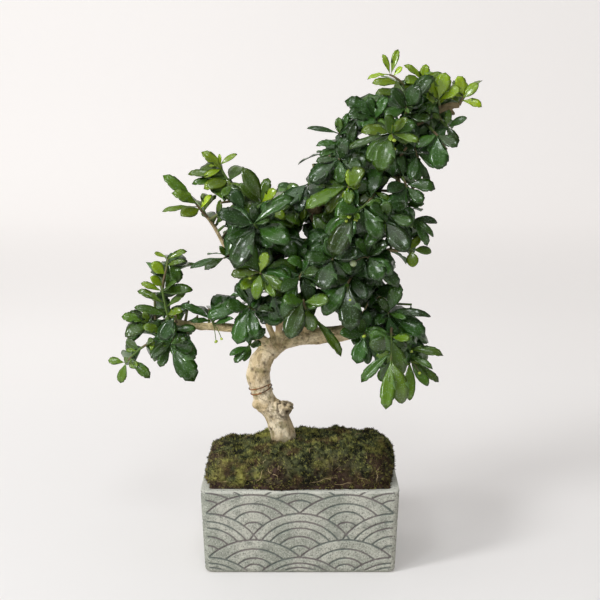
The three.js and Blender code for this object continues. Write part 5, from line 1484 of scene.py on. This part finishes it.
# Rims of the leaf shapes from the stalk to the tip: share along, half width as a share of the leaf's
toothedRim = [
    (0, 0.05), (0.1, 0.07), (0.27, 0.4), (0.46, 0.81), (0.64, 1), (0.79, 0.95), (0.825, 0.77), (0.9, 0.74),
    (0.935, 0.5),
]
plainRim = [
    (0, 0.05), (0.09, 0.075), (0.22, 0.42), (0.37, 0.8), (0.55, 1), (0.73, 0.95), (0.87, 0.7), (0.96, 0.38),
]
youngRim = [(0, 0.08), (0.12, 0.11), (0.34, 0.52), (0.55, 0.9), (0.72, 1), (0.88, 0.8), (0.97, 0.42)]
leafShapes = [  # rim, arch, fold, wave along the margin, curl of the tip
    (toothedRim, 0.07, 0.018, 0.018, 0.02), (toothedRim, 0.12, 0.035, 0.026, 0.06),
    (plainRim, 0.06, 0.024, 0.016, 0.02), (plainRim, 0.13, 0.012, 0.024, 0.09),
    (youngRim, 0.07, 0.06, 0.01, -0.03), (youngRim, 0.11, 0.04, 0.015, 0.03),
]


def leafMesh(name, rim, arch, fold, wave, curl):  # a closed blade of unit length and width on its stalk
    columns, points, spots, top, under = [-1, -0.5, 0, 0.5, 1], [], [], [], []
    for share, half in rim:
        slant = 0.1 * limit((share - 0.12) / 0.3)
        upper = []
        for a in columns + [0]:  # the last is the underside's middle
            x = share - slant * (1 - abs(a))
            z = arch * 4 * x * (1 - x) + fold * (abs(a) * 2 - 1) * min(1, 3 * x)
            z += wave * math.sin(share * 17) * abs(a) - curl * max(0, x - 0.6) ** 2 * 6
            thick = (0.032 if share < 0.2 else 0.012) * (1 - abs(a))
            upper.append(len(points))
            points.append((x, a * half * 0.5, z + (thick if len(upper) < 6 else -thick)))
            spots.append((x, (a + 1) / 2))
        top.append(upper[:5])
        under.append([upper[0], upper[5], upper[4]])
    tip = len(points)
    points.append((1, 0, -fold - curl * 0.96))
    spots.append((1, 0.5))
    faces, sides = [], []
    for skin, side in ((top, 0), (under, 1)):
        for row in range(len(rim)):
            for c in range(len(skin[0]) - 1):
                here, last = skin[row], row == len(rim) - 1
                ahead = [tip] if last else [skin[row + 1][c], skin[row + 1][c + 1]]
                face = [here[c]] + ahead + [here[c + 1]]
                faces.append(tuple(face if side == 0 else face[::-1]))
                sides.append(side)
    faces.append(tuple(top[0] + [under[0][1]]))
    sides.append(1)
    mesh = newMesh(name, points, faces)
    place = mesh.uv_layers.new(name="leafPlace")
    for polygon, side in zip(mesh.polygons, sides):
        for loop in polygon.loop_indices:
            x, a = spots[mesh.loops[loop].vertex_index]
            place.data[loop].uv = (x, a + 2 * side)
    return mesh


def leafFinish():
    look = leafLook
    gloss = {"Specular IOR Level": 0.18, "Coat Weight": 0.9, "Coat Roughness": 0.19}
    material, tree, shader, place = newFinish("glossyLeaf", **gloss)
    spot = put(tree, "ShaderNodeUVMap", uv_map="leafPlace").outputs[0]
    split = put(tree, "ShaderNodeSeparateXYZ", {0: spot}).outputs
    under = calc(tree, "GREATER_THAN", split["Y"], look["underFrom"])
    across = calc(tree, "SUBTRACT", split["Y"], calc(tree, "MULTIPLY", under, 2.0))
    across = calc(tree, "ABSOLUTE", calc(tree, "SUBTRACT", calc(tree, "MULTIPLY", across, 2.0), 1.0))
    midrib = ramp(tree, across, *look["midrib"])
    slanted = calc(tree, "SUBTRACT", split["X"], calc(tree, "MULTIPLY", across, look["veinSlant"]))
    wave = calc(tree, "PINGPONG", calc(tree, "MULTIPLY", slanted, look["veinRows"]), 0.5)
    lateral = ramp(tree, wave, *look["lateral"])
    lateral = calc(tree, "MULTIPLY", lateral, ramp(tree, across, *look["lateralEnds"]))
    vein = calc(tree, "MAXIMUM", midrib, calc(tree, "MULTIPLY", lateral, 0.4))
    tone, young = attribute(tree, "tone"), attribute(tree, "young")
    cloud = useGroup(tree, patches, place, Scale=90, Detail=2, From=0.35, To=0.65)
    colour = blendColour(tree, tone, look["dark"], look["green"])
    colour = layer(tree, colour, cloud, 0.3, look["sheen"])
    colour = blendColour(tree, young, colour, look["fresh"])
    dots = useGroup(tree, specks, place, Scale=760, Size=0.6)
    colour = layer(tree, colour, dots, 0.26, look["dot"])
    colour = layer(tree, colour, vein, 0.13, look["vein"])
    colour = layer(tree, colour, under, 0.55, look["under"])
    tree.links.new(colour, shader["Base Color"])
    dull = calc(tree, "ADD", calc(tree, "MULTIPLY", cloud, 0.16), 0.28)
    tree.links.new(calc(tree, "ADD", calc(tree, "MULTIPLY", under, 0.35), dull), shader["Roughness"])
    grain = useGroup(tree, relief, place, Scale=700, Fine=0.6)
    height = calc(tree, "SUBTRACT", calc(tree, "MULTIPLY", grain, 0.8), calc(tree, "MULTIPLY", vein, 0.5))
    bump(tree, shader, height, 0.6, 0.0003)
    return material


def stemFinish():
    look = leafLook
    material, tree, shader, place = newFinish("greenTwig", Roughness=0.65)
    old = useGroup(tree, patches, place, Scale=60, Detail=3, From=0.4, To=0.6)
    colour = blendColour(tree, old, look["stemGreen"], look["bark"])
    dots = useGroup(tree, specks, place, Scale=700, Size=0.4)
    tree.links.new(layer(tree, colour, dots, 0.5, look["vein"]), shader["Base Color"])
    bump(tree, shader, useGroup(tree, relief, place, Scale=1200, Fine=0.5), 0.5, 0.0003)
    return material


def budFinish():
    look = leafLook
    material, tree, shader, place = newFinish("buds", Roughness=0.4)
    colour = blendColour(tree, attribute(tree, "tone"), look["bud"], look["berry"])
    flush = useGroup(tree, patches, place, Scale=500, Detail=2)
    tree.links.new(layer(tree, colour, flush, 0.35, look["fresh"]), shader["Base Color"])
    bump(tree, shader, useGroup(tree, relief, place, Scale=1500, Fine=0.3), 0.3, 0.0003)
    return material


def makeShootTree():
    inputs = {"Leaf shapes": "Collection", "Bud shapes": "Collection", "Stem sides": "Int"}
    inputs.update({"Leaf": "Material", "Stem": "Material", "Bud": "Material"})
    tree, given, result = geometryTree("shoot", inputs)
    placed = []
    for number, shapes in ((0, given["Leaf shapes"]), (2, given["Bud shapes"])):
        points = put(tree, "GeometryNodeMeshToPoints", {0: only(tree, given["Geometry"], number)}).outputs[0]
        turn = put(tree, "FunctionNodeEulerToRotation", {0: named(tree, "turn", "FLOAT_VECTOR")}).outputs[0]
        size = named(tree, "size", "FLOAT_VECTOR")
        placed.append(instances(tree, points, shapes, named(tree, "shape", "INT"), turn, size))
    stems = tubes(tree, only(tree, given["Geometry"], 1), given["Stem sides"])
    joined = tree.nodes.new("GeometryNodeJoinGeometry")
    for geometry in (*placed, stems):
        tree.links.new(geometry, joined.inputs[0])
    whole = realised(tree, joined.outputs[0])
    for number, finish in enumerate(("Leaf", "Stem", "Bud")):
        whole = dressed(tree, whole, given[finish], isPart(tree, number))
    tree.links.new(whole, result)
    return tree


def leafShapeFor(leaf, n):
    if leaf["length"] > leafLook["toothedFrom"] and draw(n + 4) < leafLook["toothedShare"]:
        return 0 if draw(n) < 0.5 else 1
    if leaf["length"] > leafLook["grownFrom"]:
        return 2 if draw(n) < 0.6 else 3
    return 4 if draw(n) < 0.6 else 5


shootFields = [
    ("part", "INT"), ("thick", "FLOAT"), ("turn", "FLOAT_VECTOR"), ("size", "FLOAT_VECTOR"), ("shape", "INT"),
    ("tone", "FLOAT"), ("young", "FLOAT"),
]


def leafYouth(shoot, k, leaf, n):  # how yellow-green: more on fresh shoots and small leaves
    fresh = freshness.get(shoot["name"], usualFreshness)
    small = limit((youth["small"] - leaf["length"]) / youth["smallSpan"])
    own = 1 if k < len(shoot["placed"]) else youth["addedShare"]
    own *= 1 - youth["grownLoss"] * limit((leaf["length"] - youth["small"]) / youth["grownSpan"])
    return min(1, fresh * own * (0.3 + 0.9 * draw(n + 1)) + small * (0.12 + 0.5 * fresh) * draw(n + 2))


def shootSource(shoot):
    points, edges, rows = [], [], []

    def add(point, part, thick=0.0, turn=(0, 0, 0), size=(1, 1, 1), shape=0, tone=0.5, young=0.0):
        points.append(np.array(point) * mm)
        rows.append((part, thick * mm, turn, size, shape, tone, young))

    def line(spots, radii):
        start = len(points)
        for spot, radius in zip(spots, radii):
            add(spot, 1, radius)
        edges.extend((start + i, start + i + 1) for i in range(len(spots) - 1))

    for curve in [shoot["curve"]] + shoot["spurs"]:
        shares = stepShares(curve.span, 2.5)
        line([curve.at(s) for s in shares], [radiusAlong(leafLook["stem"], s) for s in shares])
    for k, leaf in enumerate(shoot["placed"] + shoot["added"]):
        n = shoot["number"] * 150 + k * 3
        across = np.cross(leaf["normal"], leaf["along"])
        turn = Matrix(np.array((leaf["along"], across, leaf["normal"])).T.tolist()).to_euler()
        size = (leaf["length"] * mm, leaf["width"] * mm, leaf["length"] * mm)
        add(leaf["base"], 0, 0, turn, size, leafShapeFor(leaf, n), draw(n + 2), leafYouth(shoot, k, leaf, n))
    for share, x, y, z, radius in shoot["buds"]:
        root = shoot["curve"].at(share)
        away = np.array((x, y, z))
        spots = [root + away * s + np.array((0, 0, 1.6)) * 4 * s * (1 - s) for s in np.linspace(0, 1, 6)]
        line(spots, [leafLook["budStalk"]] * 6)
        shape, tone = (1, 0.9) if radius > 2 else (0, 0.1)  # a berry or a bud
        add(root + away, 2, 0, (0.3 * x, 0.3 * y, 0), [radius * mm] * 3, shape, tone)
    mesh = newMesh("shoot_" + shoot["name"], points, [], edges)
    for i, (field, kind) in enumerate(shootFields):
        setAttribute(mesh, field, [row[i] for row in rows], kind)
    return newObject("leafy_" + shoot["name"], mesh)


def budMesh(name, long, nip):  # a small ball drawn out at its tip
    points, faces, rows, columns = [(0, 0, -1)], [], 5, 8
    for r in range(1, rows):
        a = math.pi * r / rows
        wide = math.sin(a) * (1 - nip * (r / rows) ** 2)
        turns = [c / columns * 2 * math.pi for c in range(columns)]
        points += [(wide * math.cos(t), wide * math.sin(t), -math.cos(a) * long) for t in turns]
    points.append((0, 0, long))
    last = len(points) - 1
    for c in range(columns):
        d = (c + 1) % columns
        faces.append((0, 1 + d, 1 + c))
        for r in range(rows - 2):
            a = 1 + r * columns
            faces.append((a + c, a + d, a + columns + d, a + columns + c))
        faces.append((last - columns + c, last - columns + d, last))
    return newMesh(name, points, faces)


def makeShoots():
    shoots = growShoots()
    placed, added, spurs = (sum(len(s[key]) for s in shoots) for key in ("placed", "added", "spurs"))
    print("leaves placed:", placed, "and", added, "with", spurs, "spurs")
    leaves = stock("leafShape", [leafMesh(f"leaf{i}", *row) for i, row in enumerate(leafShapes)])
    buds = stock("budShape", [budMesh("bud0", 1.25, 0.4), budMesh("bud1", 1, 0)])
    values = {"Leaf shapes": leaves, "Bud shapes": buds, "Stem sides": leafLook["sides"]}
    values.update({"Leaf": leafFinish(), "Stem": stemFinish(), "Bud": budFinish()})
    tree, total = makeShootTree(), 0
    made = [("shoot_" + shoot["name"], runTree(shootSource(shoot), tree, values)) for shoot in shoots]
    clearStock(leaves)
    clearStock(buds)
    for name, piece in made:
        keep(piece, "leaf", name)
        total += len(piece.data.polygons)
    print("shoots:", len(made), "pieces,", total, "faces")


makeShoots()


# Camera, floor and soft studio light
studio = {
    "floor": tint(218, 215, 213), "nearLeft": tint(72, 70, 69), "nearRight": tint(102, 100, 99),
    "midLeft": tint(163, 160, 158), "midRight": tint(151, 148, 146),
    "wallLeft": tint(200, 197, 195), "wallRight": tint(181, 178, 176),
    "back": 2.2, "sweep": 1.4, "front": -3, "half": 6, "high": 5,
    "sky": (1, 1, 1, 1), "skyStrength": 0.3, "glossCut": 0.12,
}
lamps = [  # name, place, height that it aims at, size, power, colour
    ("key", (-1.38, -0.95, 0.98), 0.2, 0.5, 23, (0.96, 0.98, 1)),
    ("top", (-0.3, -0.3, 1.9), 0.2, 1.6, 7, (1, 1, 1)),
    ("glint_left", (-0.7, -1.2, 1.5), 0.3, 0.4, 6, (0.94, 0.98, 1)),
    ("glint_front", (0.12, -1.35, 1.7), 0.3, 0.4, 6, (0.94, 0.98, 1)),
]


def makeStage():
    back, sweep, half = studio["back"], studio["sweep"], studio["half"]
    rows = [(studio["front"], 0)]
    rows += [(back + sweep * math.sin(a), sweep * (1 - math.cos(a))) for a in np.linspace(0, math.pi / 2, 16)]
    rows += [(back + sweep, studio["high"])]
    points = [(x, y, z) for y, z in rows for x in (-half, half)]
    faces = [(2 * i, 2 * i + 1, 2 * i + 3, 2 * i + 2) for i in range(len(rows) - 1)]
    backdrop = newObject("backdrop", newMesh("backdrop", points, faces))
    smooth(backdrop.data)
    material, tree, shader, place = newFinish("paper", Roughness=0.9, **{"Specular IOR Level": 0.1})
    shader["Base Color"].default_value = studio["floor"]
    split = put(tree, "ShaderNodeSeparateXYZ", {0: place}).outputs

    def sideToSide(zone, reach):
        side = ramp(tree, split["X"], -reach, reach)
        return blendColour(tree, side, studio[zone + "Left"], studio[zone + "Right"])

    near, mid, wall = sideToSide("near", 0.25), sideToSide("mid", 0.4), sideToSide("wall", 1.2)
    glow = blendColour(tree, ramp(tree, split["Y"], -0.3, 1), near, mid)
    glow = blendColour(tree, ramp(tree, split["Y"], 0.8, 3), glow, wall)
    tree.links.new(glow, shader["Emission Color"])
    shader["Emission Strength"].default_value = 1
    backdrop.data.materials.append(material)


def addLamp(name, spot, aim, size, power, colour):
    light = bpy.data.lights.new(name, "AREA")
    light.shape, light.size, light.energy, light.color = "DISK", size, power, colour
    lamp = newObject(name, light)
    lamp.location = spot
    lamp.rotation_euler = (Vector((0, 0, aim)) - Vector(spot)).to_track_quat("-Z", "Y").to_euler()


def makeStudio():
    makeStage()
    camera = bpy.data.cameras.new("camera")
    camera.lens, camera.sensor_width, camera.clip_start = view["lens"], view["sensor"], 0.05
    eye = newObject("camera", camera)
    eye.location = [v * mm for v in view["eye"]]
    eye.rotation_euler = (math.radians(90 - view["pitch"]), 0, 0)
    bpy.context.scene.camera = eye
    bpy.context.scene.view_settings.view_transform = "Standard"
    for lamp in lamps:
        addLamp(*lamp)
    world = bpy.data.worlds.new("studio")
    bpy.context.scene.world = world
    world.use_nodes = True
    tree = world.node_tree
    background = tree.nodes["Background"].inputs
    background["Color"].default_value = studio["sky"]
    rays = tree.nodes.new("ShaderNodeLightPath").outputs["Is Glossy Ray"]
    seen = calc(tree, "MULTIPLY", rays, studio["glossCut"])
    tree.links.new(calc(tree, "SUBTRACT", studio["skyStrength"], seen), background["Strength"])


makeStudio()
